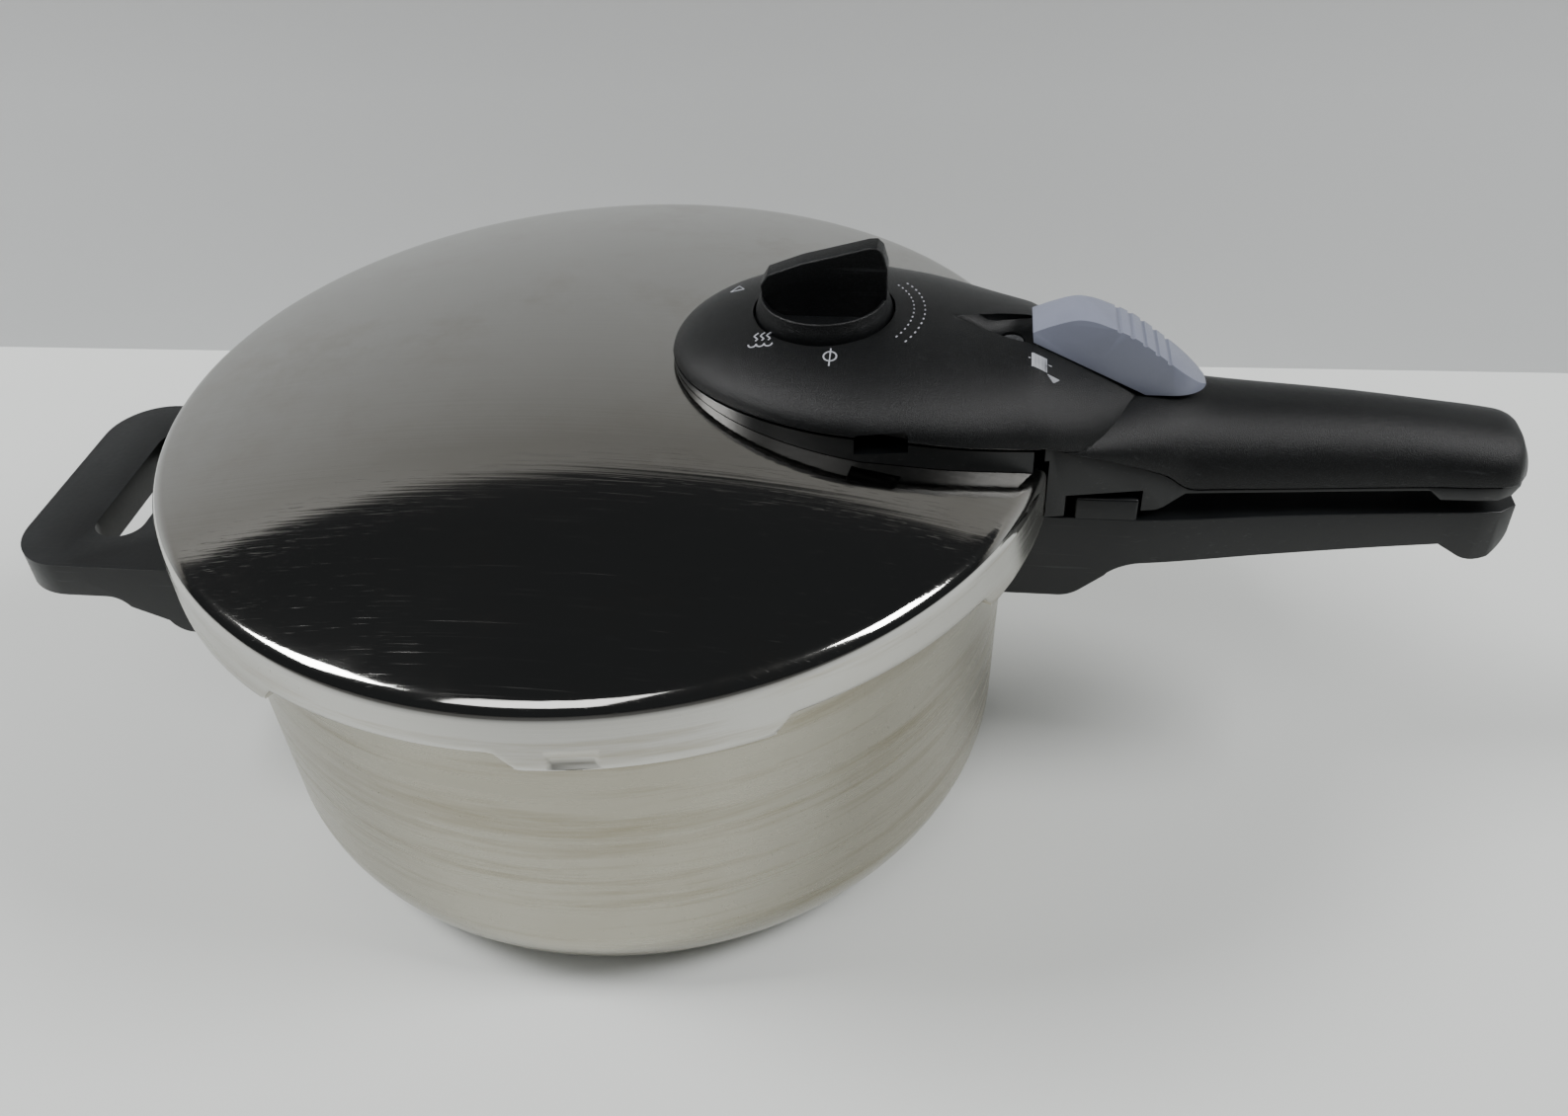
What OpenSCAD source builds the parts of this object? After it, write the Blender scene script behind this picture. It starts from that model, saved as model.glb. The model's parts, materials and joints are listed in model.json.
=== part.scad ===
// Stovetop pressure cooker with a bayonet lid.
// Origin: centre of the base on the hob. +X runs out along the long handles, +Z up.

/* [Lid] */
// Outside diameter of the lid's skirt
lid_d = 240; // [190:1:300]
// Rise of the dome above the lid's edge
dome_h = 20.8; // [15:0.1:30]
// Radius of the lid's rolled edge
edge_r = 5; // [3:0.1:8]
// Depth of the skirt between lugs
skirt_h = 9.7; // [7:0.1:12]
// Depth of the skirt at the lugs
lug_h = 14.8; // [13.5:0.1:18]
// Thickness of the pressed steel
steel = 1.2; // [0.8:0.1:2]

/* [Pot] */
// Height from the hob to the lid's edge
pot_h = 116.4; // [90:0.1:220]
// Radial gap between the skirt's outside and the pot wall
wall_inset = 10.3; // [9:0.1:14]
// Draw taper of the wall
wall_taper = 2.4; // [0:0.1:5]
// Radius of the bottom corner
corner_r = 26.4; // [15:0.1:32]
// Height of the sandwich base
base_h = 6; // [4:0.1:9]
// Thickness of the cap round the base
cap_t = 0.8; // [0.5:0.1:1.5]

/* [Bayonet] */
// Number of lugs
lugs = 6; // [4:1:8]
// Angle of the first lug's middle
lug_start = -75; // [-90:1:-60]
// Angular width of the pot's lobes
lobe_deg = 27; // [20:1:28]
// Thickness of the pot's flange
flange_t = 1.8; // [1.2:0.1:2.5]

/* [Handle cover] */
// Half width of the cover over the dome
cover_w = 40; // [34:0.5:44]
// Reach of the cover in from the lid's edge
cover_reach = 100; // [90:1:105]
// Distance from the nose to the widest place
nose_len = 52; // [44:1:58]
// Rise of the cover above its seam
cover_rise = 13.5; // [12:0.1:18]
// Wall of the mouldings
shell_t = 3; // [2:0.1:4]
// Gap of the seams between mouldings
seam_gap = 0.6; // [0.2:0.1:1]

/* [Grips] */
// Length of both grips beyond the lid's edge
grip_len = 118; // [100:1:150]
// Half width of the bracket at the lid
bracket_w = 25; // [22:0.5:28]
// Half width of the pot handle at its bracket
handle_w = 21; // [18:0.5:24]
// Height of the gap between the two grips
grip_gap = 7.6; // [6:0.1:12]

/* [Side handle] */
// Half width of the side handle
side_w = 40.5; // [34:0.5:48]
// Reach of the side handle from the pot wall
side_reach = 60.5; // [52:0.5:75]
// Width of its bar
side_bar = 19.5; // [14:0.5:24]
// Thickness of its arms
side_t = 10.5; // [8:0.5:14]
// Depth of its bracket on the pot wall
side_drop = 21.5; // [16:0.5:28]

/* [Selector] */
// Distance from the lid's axis to the selector's axis
knob_x = 59.6; // [54:0.1:66]
// Radius of the dial
knob_r = 17.5; // [14:0.1:19]
// Height of the dial above its recess
knob_h = 8; // [5:0.1:10]
// Height of the finger fin above the dial
fin_h = 13; // [8:0.5:15]
// Radius of the selector's spindle
spindle_r = 6; // [4:0.1:7]

/* [Slider] */
// Length of the slider
slider_len = 44.6; // [38:0.1:48]
// Half width of the slider
slider_w = 7.2; // [5:0.1:9]
// Travel of the slider
slider_travel = 8; // [5:0.5:9]

/* [Valves] */
// Radius of the working valve's neck
valve_r = 6; // [5:0.1:7]
// Radius of the indicator pin
pin_r = 2.4; // [1.5:0.1:3]
// Travel of the indicator pin
pin_travel = 4; // [2:0.1:5]
// Radius of the relief valve's neck
relief_r = 5.5; // [4:0.1:6]

/* [Hidden] */

fn_round = 120;      // rounds of the pot and the lid
fn_small = 48;       // screws, pins and bores
fit = 0.05;          // radial running fit of pins and spindles
clear = 0.3;         // gap between pieces that move past each other
lie = 0.15;          // gap between pieces that lie on each other

lid_r = lid_d / 2;
wall_r = lid_r - wall_inset;             // pot wall at its top
foot_r = wall_r - wall_taper;            // pot wall above the corner
flat_r = foot_r - corner_r;              // flat part of the base
lug_pitch = 360 / lugs;
skirt_in = lid_r - steel;
lug_in = wall_r + 4;                     // reach of the lid's lugs
lug_z = pot_h - lug_h;
skirt_z = pot_h - skirt_h;
flange_z = lug_z + steel + 2 * clear;    // underside of the pot's flange
mouth_z = flange_z + flange_t;           // top of the pot
lobe_r = skirt_in - 1.3;

// Dome: a sphere that runs into the rolled edge
dome_rho = (pow(lid_r - edge_r, 2) + dome_h * dome_h - edge_r * edge_r) / (2 * (dome_h - edge_r));
dome_deg = asin((lid_r - edge_r) / (dome_rho - edge_r));
dome_mid = pot_h + dome_h - dome_rho;
function dome_z(r) = dome_mid + sqrt(dome_rho * dome_rho - r * r);

// Bayonet and gasket
flange_reach = 3.5;
gasket_out = skirt_in - 0.4;
gasket_in = wall_r - 2.5;
gasket_top = wall_r + 2.8;                // inner edge of the upper lip

// Lid handle: u is measured from the lid's edge along X
wide_u = nose_len - cover_reach;         // widest place of the cover
slope_u = -7.5;                          // where the slider's slope begins
slope_z0 = dome_z(lid_r + slope_u) + cover_rise + 9;
knee_x = lid_r + 21.5;                   // foot of the slope
knee_z = pot_h + 13.9;
slope_k = (knee_z - slope_z0) / (knee_x - lid_r - slope_u);
slope_deg = -atan(slope_k);
slider_x0 = lid_r + slope_u;
recess_z = dome_z(knob_x) + 13.4;        // floor round the selector
roof_z = recess_z - 3;                   // underside of the cover below it
scoop_z = dome_z(lid_r - 13) + 17.6;     // floor in front of the slider

// Lock: the tab on the pot handle, the slot for the bolt
tab_x0 = lid_r + 5.5;
tab_x1 = lid_r + 21.5;
tab_y0 = -21;
tab_y1 = 11;
tab_far = norm([tab_x1, tab_y0]);        // reach of the tab's furthest corner
notch_z = pot_h - 6.2;
slot_w = 2.4;
slot_x0 = tab_far + 1.2 - slider_travel * cos(slope_deg) - 0.5;
slot_x1 = tab_far + 1.2 + 5.5 + 0.5;

// Screws and steel brackets
screw_r = 2.2;
head_r = 4;
clip_t = 1.8;
clip_z = pot_h - 4.4;
lid_screw_x = lid_r + 42;
bed_z = pot_h - 27;
pot_screw_x = lid_r + 17;
side_z = pot_h - 38;
side_screw = 16;
side_screw_x = -wall_r - 8;
side_open = 14.5;

// Valves
valve_flange = valve_r + 3;
plug_r = valve_r - 2.4;
cam_z0 = dome_z(knob_x) + 6;
pin_x = lid_r - 12.6;
cap_r = pin_r + 0.5;
seal_r = pin_r + 2.2;
relief_x = lid_r - 38;
relief_y = -17;
relief_h = 9;
poppet_r = relief_r - 2;

// ---- Curves ----
function arc(x, y, r, a0, a1, n) =
    [for (i = [0:n]) let (a = a0 + (a1 - a0) * i / n) [x + r * cos(a), y + r * sin(a)]];
function slope_at(t, k) = let (a = max(k - 1, 0), b = min(k + 1, len(t) - 1))
    (t[b][1] - t[a][1]) / (t[b][0] - t[a][0]);
function span_of(t, x) = max([for (k = [0:len(t) - 2]) t[k][0] <= x ? k : 0]);
// Smooth curve through the points t, read at x
function curve(t, x) = let (k = span_of(t, x), w = t[k + 1][0] - t[k][0], s = (x - t[k][0]) / w)
    (2 * s * s * s - 3 * s * s + 1) * t[k][1] + (s * s * s - 2 * s * s + s) * w * slope_at(t, k)
    + (3 * s * s - 2 * s * s * s) * t[k + 1][1] + (s * s * s - s * s) * w * slope_at(t, k + 1);
function steps(a, b, n) = [for (i = [0:n]) a + (b - a) * i / n];

// ---- Shapes ----
module ring(r0, r1, z0, z1, a0 = 0, a1 = 360, fn = fn_round) {
    rotate([0, 0, a0]) rotate_extrude(angle = a1 - a0, $fn = fn)
        translate([r0, z0]) square([r1 - r0, z1 - z0]);
}
module post(x, y, r, z0, z1, fn = fn_small) {
    translate([x, y, z0]) cylinder(r = r, h = z1 - z0, $fn = fn);
}
module block(x0, x1, y0, y1, z0, z1) {
    translate([x0, y0, z0]) cube([x1 - x0, y1 - y0, z1 - z0]);
}
// A side view given as [x, z] points, w each way in Y
module side_view(points, w) {
    rotate([90, 0, 0]) linear_extrude(height = 2 * w, center = true) polygon(points);
}
module plan_view(points, z0, z1) {
    translate([0, 0, z0]) linear_extrude(height = z1 - z0) polygon(points);
}
// A rounded rectangle with corners of radius r
module rounded_rect(x0, x1, y0, y1, r) {
    translate([x0 + r, y0]) square([x1 - x0 - 2 * r, y1 - y0]);
    translate([x0, y0 + r]) square([x1 - x0, y1 - y0 - 2 * r]);
    for (x = [x0 + r, x1 - r], y = [y0 + r, y1 - r]) translate([x, y]) circle(r = r, $fn = fn_small);
}
// A solid through rings of points, all with the same count
module loft(rings) {
    n = len(rings[0]);
    m = len(rings);
    sides = [for (j = [0:m - 2], i = [0:n - 1]) let (a = j * n + i, b = j * n + (i + 1) % n)
        each [[a, b, b + n], [a, b + n, a + n]]];
    polyhedron(points = [for (r = rings) each r],
        faces = concat([[for (i = [n - 1:-1:0]) i]], sides, [[for (i = [0:n - 1]) (m - 1) * n + i]]));
}
// A coil spring as a thin tube
module coil(x, y, r, wire, z0, z1, turns) {
    per_turn = 14;
    n = turns * per_turn;
    translate([x, y, 0]) loft([for (i = [0:n]) let (a = 360 * i / per_turn,
            z = z0 + wire + (z1 - z0 - 2 * wire) * i / n)
        [for (k = [5:-1:0]) let (b = 60 * k)
            [(r + wire * cos(b)) * cos(a), (r + wire * cos(b)) * sin(a), z + wire * sin(b)]]]);
}

// ---- Pot ----
function rev(v) = [for (i = [len(v) - 1:-1:0]) v[i]];
// Arc of the bottom corner at radius r, from height z_low up to z_high
function corner_arc(r, z_low, z_high = corner_r) =
    arc(flat_r, corner_r, r, -asin((corner_r - z_low) / r), -asin((corner_r - z_high) / r), 14);
// The pot's outside grown by g, as a solid for cutting
module pot_solid(g) {
    rotate_extrude($fn = fn_round) polygon(concat([[0, base_h]],
        corner_arc(corner_r + g, base_h), [[wall_r + g, mouth_z], [0, mouth_z]]));
}
module pot_shell() {
    color("silver") {
        rotate_extrude($fn = fn_round) polygon(concat([[0, base_h]], corner_arc(corner_r, base_h),
            [[wall_r, mouth_z], [wall_r - steel, mouth_z]],
            rev(corner_arc(corner_r - steel, base_h + steel)), [[0, base_h + steel]]));
        ring(wall_r - steel / 2, wall_r + flange_reach, flange_z, mouth_z);
        for (k = [0:lugs - 1]) let (a = lug_start + k * lug_pitch)
            ring(wall_r, lobe_r, flange_z, mouth_z, a - lobe_deg / 2, a + lobe_deg / 2);
    }
}
module base_core() {
    color("gainsboro") rotate_extrude($fn = fn_round) polygon(concat([[0, cap_t]],
        corner_arc(corner_r - cap_t, cap_t, base_h), [[0, base_h]]));
}
module base_cap() {
    color("silver") rotate_extrude($fn = fn_round) polygon(concat([[0, 0]],
        corner_arc(corner_r, 0, base_h), rev(corner_arc(corner_r - cap_t, cap_t, base_h)), [[0, cap_t]]));
}

// ---- Lid ----
// The lid's outside grown by g and closed at z_low, as a solid
module lid_solid(g, z_low) {
    rotate_extrude($fn = fn_round) polygon(concat([[0, z_low], [lid_r + g, z_low]],
        arc(lid_r - edge_r, pot_h, edge_r + g, 0, 90 - dome_deg, 8),
        arc(0, dome_mid, dome_rho + g, 90 - dome_deg, 90, 18)));
}
module lid_shell() {
    notch_w = lid_r * sin(lug_pitch / 4);     // half width of the shallow stretch
    color("silver") difference() {
        lid_solid(0, lug_z);
        lid_solid(-steel, lug_z + steel);
        post(0, 0, lug_in, lug_z - 1, lug_z + steel + 1, fn_round);
        for (k = [0:lugs - 1]) rotate([0, 0, lug_start + (k + 0.5) * lug_pitch])
            translate([lug_in - 3, 0, 0]) rotate([90, 0, 90]) linear_extrude(height = lid_r)
                polygon([[-notch_w - 1, lug_z - 1], [notch_w + 1, lug_z - 1],
                    [notch_w - 2, skirt_z], [2 - notch_w, skirt_z]]);
        post(knob_x, 0, valve_r + lie, pot_h, pot_h + dome_h + 1);
        post(pin_x, 0, seal_r + lie, pot_h, pot_h + dome_h + 1);
        post(relief_x, relief_y, relief_r + lie, pot_h, pot_h + dome_h + 1);
    }
}
module gasket() {
    z0 = mouth_z + 0.1;
    z1 = min(pot_h + 2, dome_z(pin_x) - 5.2);       // stays under the indicator's seal
    lip = 2.2;
    color("dimgray") rotate_extrude($fn = fn_round) polygon([
        [gasket_in, z0], [gasket_out, z0], [gasket_out, pot_h - 2.4], [gasket_out - 2.4, z1],
        [gasket_top, z1], [gasket_top + 0.6, z1 - lip], [gasket_out - 3.4, z1 - lip],
        [gasket_out - 3.4, z0 + lip], [gasket_in + 1, z0 + lip]]);
}
// Steel tongue welded to the skirt that the lid handle is screwed to
module lid_clip() {
    x1 = lid_screw_x + 7;
    color("silver") difference() {
        union() {
            intersection() {
                ring(lid_r + 0.02, lid_r + clip_t, clip_z - 6, clip_z + clip_t);
                block(0, lid_r + 9, -12, 12, clip_z - 6, clip_z + clip_t);
            }
            difference() {
                block(lid_r - 1, x1, -7, 7, clip_z, clip_z + clip_t);
                post(0, 0, lid_r + clip_t / 2, clip_z - 1, clip_z + clip_t + 1, fn_round);
            }
        }
        block(slot_x0, slot_x1, -slot_w, slot_w, clip_z - 1, clip_z + clip_t + 1);
        post(lid_screw_x, 0, screw_r + lie, clip_z - 1, clip_z + clip_t + 1);
    }
}

// ---- Lid handle ----
// Half width of the cover, and the heights of its seam and crown above the dome, at u from the lid's edge
function cover_half(u) = let (t = (wide_u - u) / nose_len) u > 25 ? 0 : u < wide_u
    ? cover_w * sqrt(max(0, 1 - t * t))
    : cover_w * curve([[wide_u, 1], [-27, 0.92], [-8, 0.775], [2, 0.68], [14, 0.47], [21.5, 0.24], [25, 0.05]], u);
function seam_over(u) = curve([[-cover_reach, 1.6], [-60, 4], [wide_u, 5], [-18, 5.3], [-6, 5.9]], u);
function crown_over(u) = let (t = (wide_u - u) / nose_len) u < wide_u
    ? seam_over(u) + cover_rise * sqrt(max(0, 1 - t * t))
    : curve([[wide_u, cover_rise + 5], [-35, cover_rise + 6.6], [-19, cover_rise + 7.6],
        [slope_u, cover_rise + 9]], u);
// Height of the seam's line, of the slope that carries the slider, and of the grained edge
function seam_z(u) = dome_z(lid_r + min(u, -6)) + seam_over(min(u, -6)) - max(0, u + 6) * 0.15;
function slope_z(u) = slope_z0 + (u - slope_u) * slope_k;
function crown_z(u) = u < slope_u ? dome_z(lid_r + u) + crown_over(u) : slope_z(u);
function grain_z(u) = pot_h + curve([[-5, 10.8], [27, -1.8], [33, -6.2], [40, -6.8], [grip_len, -6.8]], u);
function grip_half(u) = curve([[-5, 28.5], [2, 26.6], [14, 23.2], [27, 20.3], [33, 19.3],
    [57, 17.3], [94, 14.4], [grip_len - 10, 14], [grip_len - 3, 12.6], [grip_len, 8.5]], u);
function grip_crown(u) = pot_h + curve([[-5, 11.6], [2, 13], [14, 14], [21.5, 13.9], [30, 13],
    [40, 11.4], [77, 9.1], [grip_len - 7, 5.1], [grip_len - 2, 3.1], [grip_len, -0.6]], u);
top_us = concat([for (a = [4:9:85]) wide_u - nose_len * cos(a)], steps(-40, slope_u, 5),
    [-4, 0, 4, 8, 12, 16, 20, 24, 28, 33, 40], steps(50, grip_len - 14, 7),
    [grip_len - 9, grip_len - 5, grip_len - 2.5, grip_len - 0.8, grip_len]);
function top_foot(u) = u < -5 ? seam_z(u) : grain_z(u);
// Height at y of a half-round of half width w that stands on b and rises to c
function rise(y, w, b, c, full) = abs(y) >= w || c <= b ? b
    : b + (c - b) * pow(1 - pow(abs(y) / w, full), 1 / full);
// Section of the top moulding: the cover and the grip, whichever is higher
function top_section(u, n = 22) = let (b = top_foot(u), wc = cover_half(u),
        wg = u < -5 ? 0 : grip_half(u), w = max(wc, wg), cc = crown_z(u),
        cg = u < -5 ? 0 : grip_crown(u))
    [for (i = [0:n]) let (y = w * cos(180 * i / n))
        [lid_r + u, y, max(rise(y, wc, b, cc, 2.1), rise(y, wg, b, cg, 2.3))
           ]];

module top_body() {
    loft([for (u = top_us) top_section(u)]);
}
// Room under the cover: inset from its edge, up to a line through the heights tops
module cover_room(inset, tops) {
    us = room_us(inset);
    intersection() {
        plan_view(base_edge(inset), pot_h - 5, pot_h + 50);
        side_view(concat([for (i = [0:8]) [lid_r + us[i], tops[i]]],
            [[lid_r - 6 - shell_t, pot_h], [lid_r - cover_reach, pot_h]]), cover_w);
    }
}
function room_us(inset) = steps(inset - cover_reach, -6 - shell_t, 8);
module handle_top() {
    color([0.16, 0.17, 0.18]) difference() {
        top_body();
        cover_room(7, [for (u = room_us(7)) seam_z(u) + 4.5]);
        cover_room(18, [for (u = room_us(18)) crown_z(u) - 7]);
        // hollow of the grip
        plan_view([for (u = steps(44, grip_len - 12, 5)) [lid_r + u, grip_half(u) - 4.5],
            for (u = rev(steps(44, grip_len - 12, 5))) [lid_r + u, 4.5 - grip_half(u)]],
            pot_h - 9, pot_h + 0.5);
        // recess and bore of the selector, and the scoop, hole and bed of the lock
        post(knob_x, 0, knob_r + 1.1, recess_z, recess_z + 30);
        post(knob_x, 0, spindle_r + fit, recess_z - 9, recess_z + 1);
        post(knob_x, 0, spindle_r + 3.2, roof_z - 5, roof_z);
        side_view([[lid_r - 27, crown_z(-27) + 0.5], [pin_x - 4, scoop_z], [slider_x0 + 1, scoop_z],
            [slider_x0 + 1, scoop_z + 14], [lid_r - 27, scoop_z + 14]], 5);
        post(pin_x, 0, cap_r + clear, scoop_z - 9, scoop_z + 1);
        side_view([[slider_x0 - 9, slope_z(slope_u - 9) + lie], [knee_x, knee_z - lie],
            [lid_r + 38.5, knee_z - lie], [lid_r + 38.5, knee_z + 20], [slider_x0 - 9, knee_z + 30]],
            slider_w + clear);
        block(slot_x0, slot_x1, -slot_w, slot_w, pot_h - 20, knee_z + 20);
        // steam slot on the near side, and the tongue's bed
        block(lid_r - 50, lid_r - 37, -cover_w - 5, -cover_w + 4, seam_z(-44) - 2, seam_z(-44) + 2);
        clip_bed();
        post(lid_screw_x, 0, screw_r + fit, clip_z - 5, clip_z + 9);
    }
}
// Room for the steel tongue in both mouldings
module clip_bed() {
    block(lid_r - 2, lid_screw_x + 7 + lie, -7 - lie, 7 + lie, clip_z - lie, clip_z + clip_t + lie);
    block(lid_r - 2, lid_r + clip_t + 0.6, -12 - clear, 12 + clear, clip_z - 6 - lie, clip_z + clip_t + lie);
}
function base_edge(inset) = let (us = concat([for (a = [7:7:84]) wide_u - nose_len * cos(a)],
        steps(wide_u, -6.5, 6)), pts = [for (u = us) if (cover_half(u) > inset + 0.5) u])
    concat([for (u = pts) [lid_r + u, cover_half(u) - inset]],
        [for (u = rev(pts)) [lid_r + u, inset - cover_half(u)]]);
module handle_base() {
    floor_t = 2;
    color([0.09, 0.1, 0.11]) difference() {
        intersection() {
            plan_view(base_edge(0.8), pot_h - 5, pot_h + 40);
            side_view(concat([for (u = steps(-cover_reach, -6.5, 8)) [lid_r + u, seam_z(u) - seam_gap]],
                [[lid_r - 6.5, pot_h - 5], [lid_r - cover_reach, pot_h - 5]]), cover_w);
        }
        lid_solid(lie, pot_h - 20);
        difference() {
            plan_view(base_edge(0.8 + shell_t), pot_h - 6, pot_h + 41);
            lid_solid(lie + floor_t, pot_h - 20);
            block(lid_r - 6.5 - shell_t, lid_r, -cover_w, cover_w, pot_h - 7, pot_h + 41);
        }
        post(knob_x, 0, valve_flange + clear, pot_h, pot_h + 41);
        post(pin_x, 0, seal_r + 2 + clear, pot_h, pot_h + 41);
        post(relief_x, relief_y, relief_r + 3 + clear, pot_h, pot_h + 41);
        block(lid_r - 50, lid_r - 37, -cover_w - 5, -cover_w / 2, seam_z(-44) - 4, seam_z(-44) + 2);
    }
}
module handle_bracket() {
    x0 = lid_r - 3.5;
    z0 = pot_h - 12.6;
    strip_z = pot_h - 7.8;
    end_z = pot_h - 10.6;
    color([0.1, 0.11, 0.12]) difference() {
        intersection() {
            plan_view([[x0, bracket_w], [lid_r + 30, 19.2], each [for (u = steps(34, grip_len - 1, 9))
                [lid_r + u, grip_half(u) - 0.4]], each [for (u = rev(steps(34, grip_len - 1, 9)))
                [lid_r + u, 0.4 - grip_half(u)]], [lid_r + 30, -19.2], [x0, -bracket_w]],
                pot_h - 20, pot_h + 20);
            side_view(concat([[x0, z0], [lid_r + 26, z0], [lid_r + 33, strip_z],
                [lid_r + grip_len - 24, strip_z], [lid_r + grip_len - 21, end_z],
                [lid_r + grip_len - 3, end_z], [lid_r + grip_len - 1, end_z + 2]],
                rev([for (u = concat([-3.5, 6, 16, 27, 30, 33, 36, 40], [grip_len - 1]))
                    [lid_r + u, grain_z(u) - lie]])), bracket_w);
        }
        post(0, 0, lid_r + clear, pot_h - 21, pot_h + 5, fn_round);
        lid_solid(clear, pot_h - 20);
        // notch for the pot handle's tab, open on the near side
        intersection() {
            ring(tab_x0 - 0.6, tab_far + 0.6, z0 - 1, notch_z);
            block(0, lid_r + 40, -60, tab_y1 + 1.5, z0 - 1, notch_z);
        }
        block(slot_x0, slot_x1, -slot_w, slot_w, z0 - 1, pot_h + 20);
        clip_bed();
        post(lid_screw_x, 0, screw_r + lie, z0 - 1, clip_z + 1);
        post(lid_screw_x, 0, head_r + lie, z0 - 1, clip_z - 3.2);
    }
}
// A pan-head screw along +Z whose head starts at z0
module screw(x, y, z0, z1) {
    difference() {
        union() {
            post(x, y, head_r, z0, z0 + 2.4);
            post(x, y, screw_r, z0 + 2.3, z1);
        }
        block(x - 3, x + 3, y - 0.45, y + 0.45, z0 - 1, z0 + 1.2);
        block(x - 0.45, x + 0.45, y - 3, y + 3, z0 - 1, z0 + 1.2);
    }
}
module handle_screw() {
    color("silver") screw(lid_screw_x, 0, clip_z - 5.6, clip_z + 8);
}

// ---- Working valve ----
module above_lid() {
    difference() {
        children();
        lid_solid(lie / 2, pot_h - 20);
    }
}
module below_lid() {
    intersection() {
        children();
        lid_solid(-steel - lie / 2, pot_h - 20);
    }
}
valve_z = dome_z(knob_x);
module valve_housing() {
    color("gainsboro") difference() {
        union() {
            above_lid() post(knob_x, 0, valve_flange, valve_z - 4, valve_z + 2.6);
            post(knob_x, 0, valve_r, valve_z - 11, valve_z + 2.6);
        }
        post(knob_x, 0, plug_r + fit, valve_z - 9, valve_z + 5);
        post(knob_x, 0, 1.6, valve_z - 12, valve_z + 5);
    }
}
module valve_washer() {
    color("dimgray") difference() {
        below_lid() post(knob_x, 0, valve_flange, valve_z - 4.6, valve_z);
        post(knob_x, 0, valve_r + lie, valve_z - 6, valve_z + 3);
    }
}
module valve_nut() {
    color("silver") difference() {
        post(knob_x, 0, valve_flange, valve_z - 7.8, valve_z - 4.7, 6);
        post(knob_x, 0, valve_r + lie, valve_z - 9, valve_z - 3);
    }
}
module valve_plug() {
    color("gold") union() {
        post(knob_x, 0, plug_r, valve_z - 8.9, valve_z + 1);
        post(knob_x, 0, 1.6, valve_z + 0.9, valve_z + 5.2);
    }
}
module valve_spring() {
    color("silver") coil(knob_x, 0, 2.5, 0.4, valve_z + 1.1, cam_z0 - 0.3, 3);
}

// ---- Pressure indicator ----
module indicator_seal() {
    z = dome_z(pin_x);
    color("indianred") difference() {
        union() {
            above_lid() post(pin_x, 0, seal_r + 2, z - 4, z + 3);
            below_lid() post(pin_x, 0, seal_r + 2, z - 5, z + 2);
            post(pin_x, 0, seal_r, z - 5, z + 3);
        }
        post(pin_x, 0, pin_r + fit, z - 6, z + 4);
    }
}
module indicator_pin() {
    z = dome_z(pin_x);
    color("tomato") union() {
        post(pin_x, 0, pin_r, z - 9.5, scoop_z - 1.9);
        post(pin_x, 0, cap_r, scoop_z - 2, scoop_z - 0.3);
        post(pin_x, 0, pin_r + 1.6, z - 6.6 - pin_travel, z - 5.2 - pin_travel);
    }
}

// ---- Relief valve ----
relief_z = dome_z(norm([relief_x, relief_y]));
module relief_body() {
    color("gold") difference() {
        union() {
            above_lid() post(relief_x, relief_y, relief_r + 3, relief_z - 4, relief_z + 2);
            post(relief_x, relief_y, relief_r, relief_z - 10, relief_z + relief_h);
        }
        post(relief_x, relief_y, poppet_r + fit, relief_z - 8, relief_z + relief_h - 1.5);
        post(relief_x, relief_y, 1.7, relief_z - 11, relief_z + relief_h + 1);
    }
}
module relief_washer() {
    color("dimgray") difference() {
        below_lid() post(relief_x, relief_y, relief_r + 3, relief_z - 5, relief_z);
        post(relief_x, relief_y, relief_r + lie, relief_z - 7, relief_z + 3);
    }
}
module relief_nut() {
    color("gold") difference() {
        post(relief_x, relief_y, relief_r + 3.2, relief_z - 8, relief_z - 5.1, 6);
        post(relief_x, relief_y, relief_r + lie, relief_z - 9, relief_z - 4);
    }
}
module relief_poppet() {
    color("gainsboro") union() {
        post(relief_x, relief_y, poppet_r, relief_z - 7.9, relief_z - 3);
        post(relief_x, relief_y, 1.2, relief_z - 3.1, relief_z + 3);
    }
}
module relief_spring() {
    color("silver") coil(relief_x, relief_y, 2.4, 0.4, relief_z - 2.9, relief_z + relief_h - 1.6, 5);
}

// ---- Selector ----
module selector_knob() {
    z0 = recess_z + clear;
    z1 = z0 + knob_h;
    blade = 3;                              // half thickness of the fin's foot
    color([0.13, 0.14, 0.15]) translate([knob_x, 0, 0]) union() {
        difference() {
            post(0, 0, knob_r, z0, z1);
            for (s = [-1, 1]) translate([0, s * (knob_r * 1.35), z1 + 12]) sphere(r = 20, $fn = 72);
        }
        intersection() {
            post(0, 0, knob_r, z0, z1 + fin_h + 1);
            side_view([[-knob_r, z1 - 5], [knob_r, z1 - 5], [knob_r, z1], [knob_r * 0.84, z1 + fin_h],
                [knob_r * 0.3, z1 + fin_h * 0.86], [-knob_r * 0.3, z1 + fin_h * 0.64],
                [-knob_r * 0.8, z1 + fin_h * 0.38], [-knob_r, z1 + 0.5]], blade);
        }
        difference() {
            post(0, 0, spindle_r, cam_z0 + 1.5, z0 + 1);
            translate([0, 0, cam_z0 + 0.5]) cylinder(r = 2, h = 4, $fn = fn_small);
            ring(spindle_r - 1, spindle_r + 1, roof_z - 1.3, roof_z - 0.1, fn = fn_small);
        }
    }
}
// Snap ring that holds the spindle up under the cover
module selector_ring() {
    color("silver") ring_at(knob_x, spindle_r - 1 + lie, spindle_r + 2.5, roof_z - 1.2, roof_z - 0.2);
}
module ring_at(x, r0, r1, z0, z1) {
    difference() {
        post(x, 0, r1, z0, z1);
        post(x, 0, r0, z0 - 1, z1 + 1);
    }
}
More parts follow.
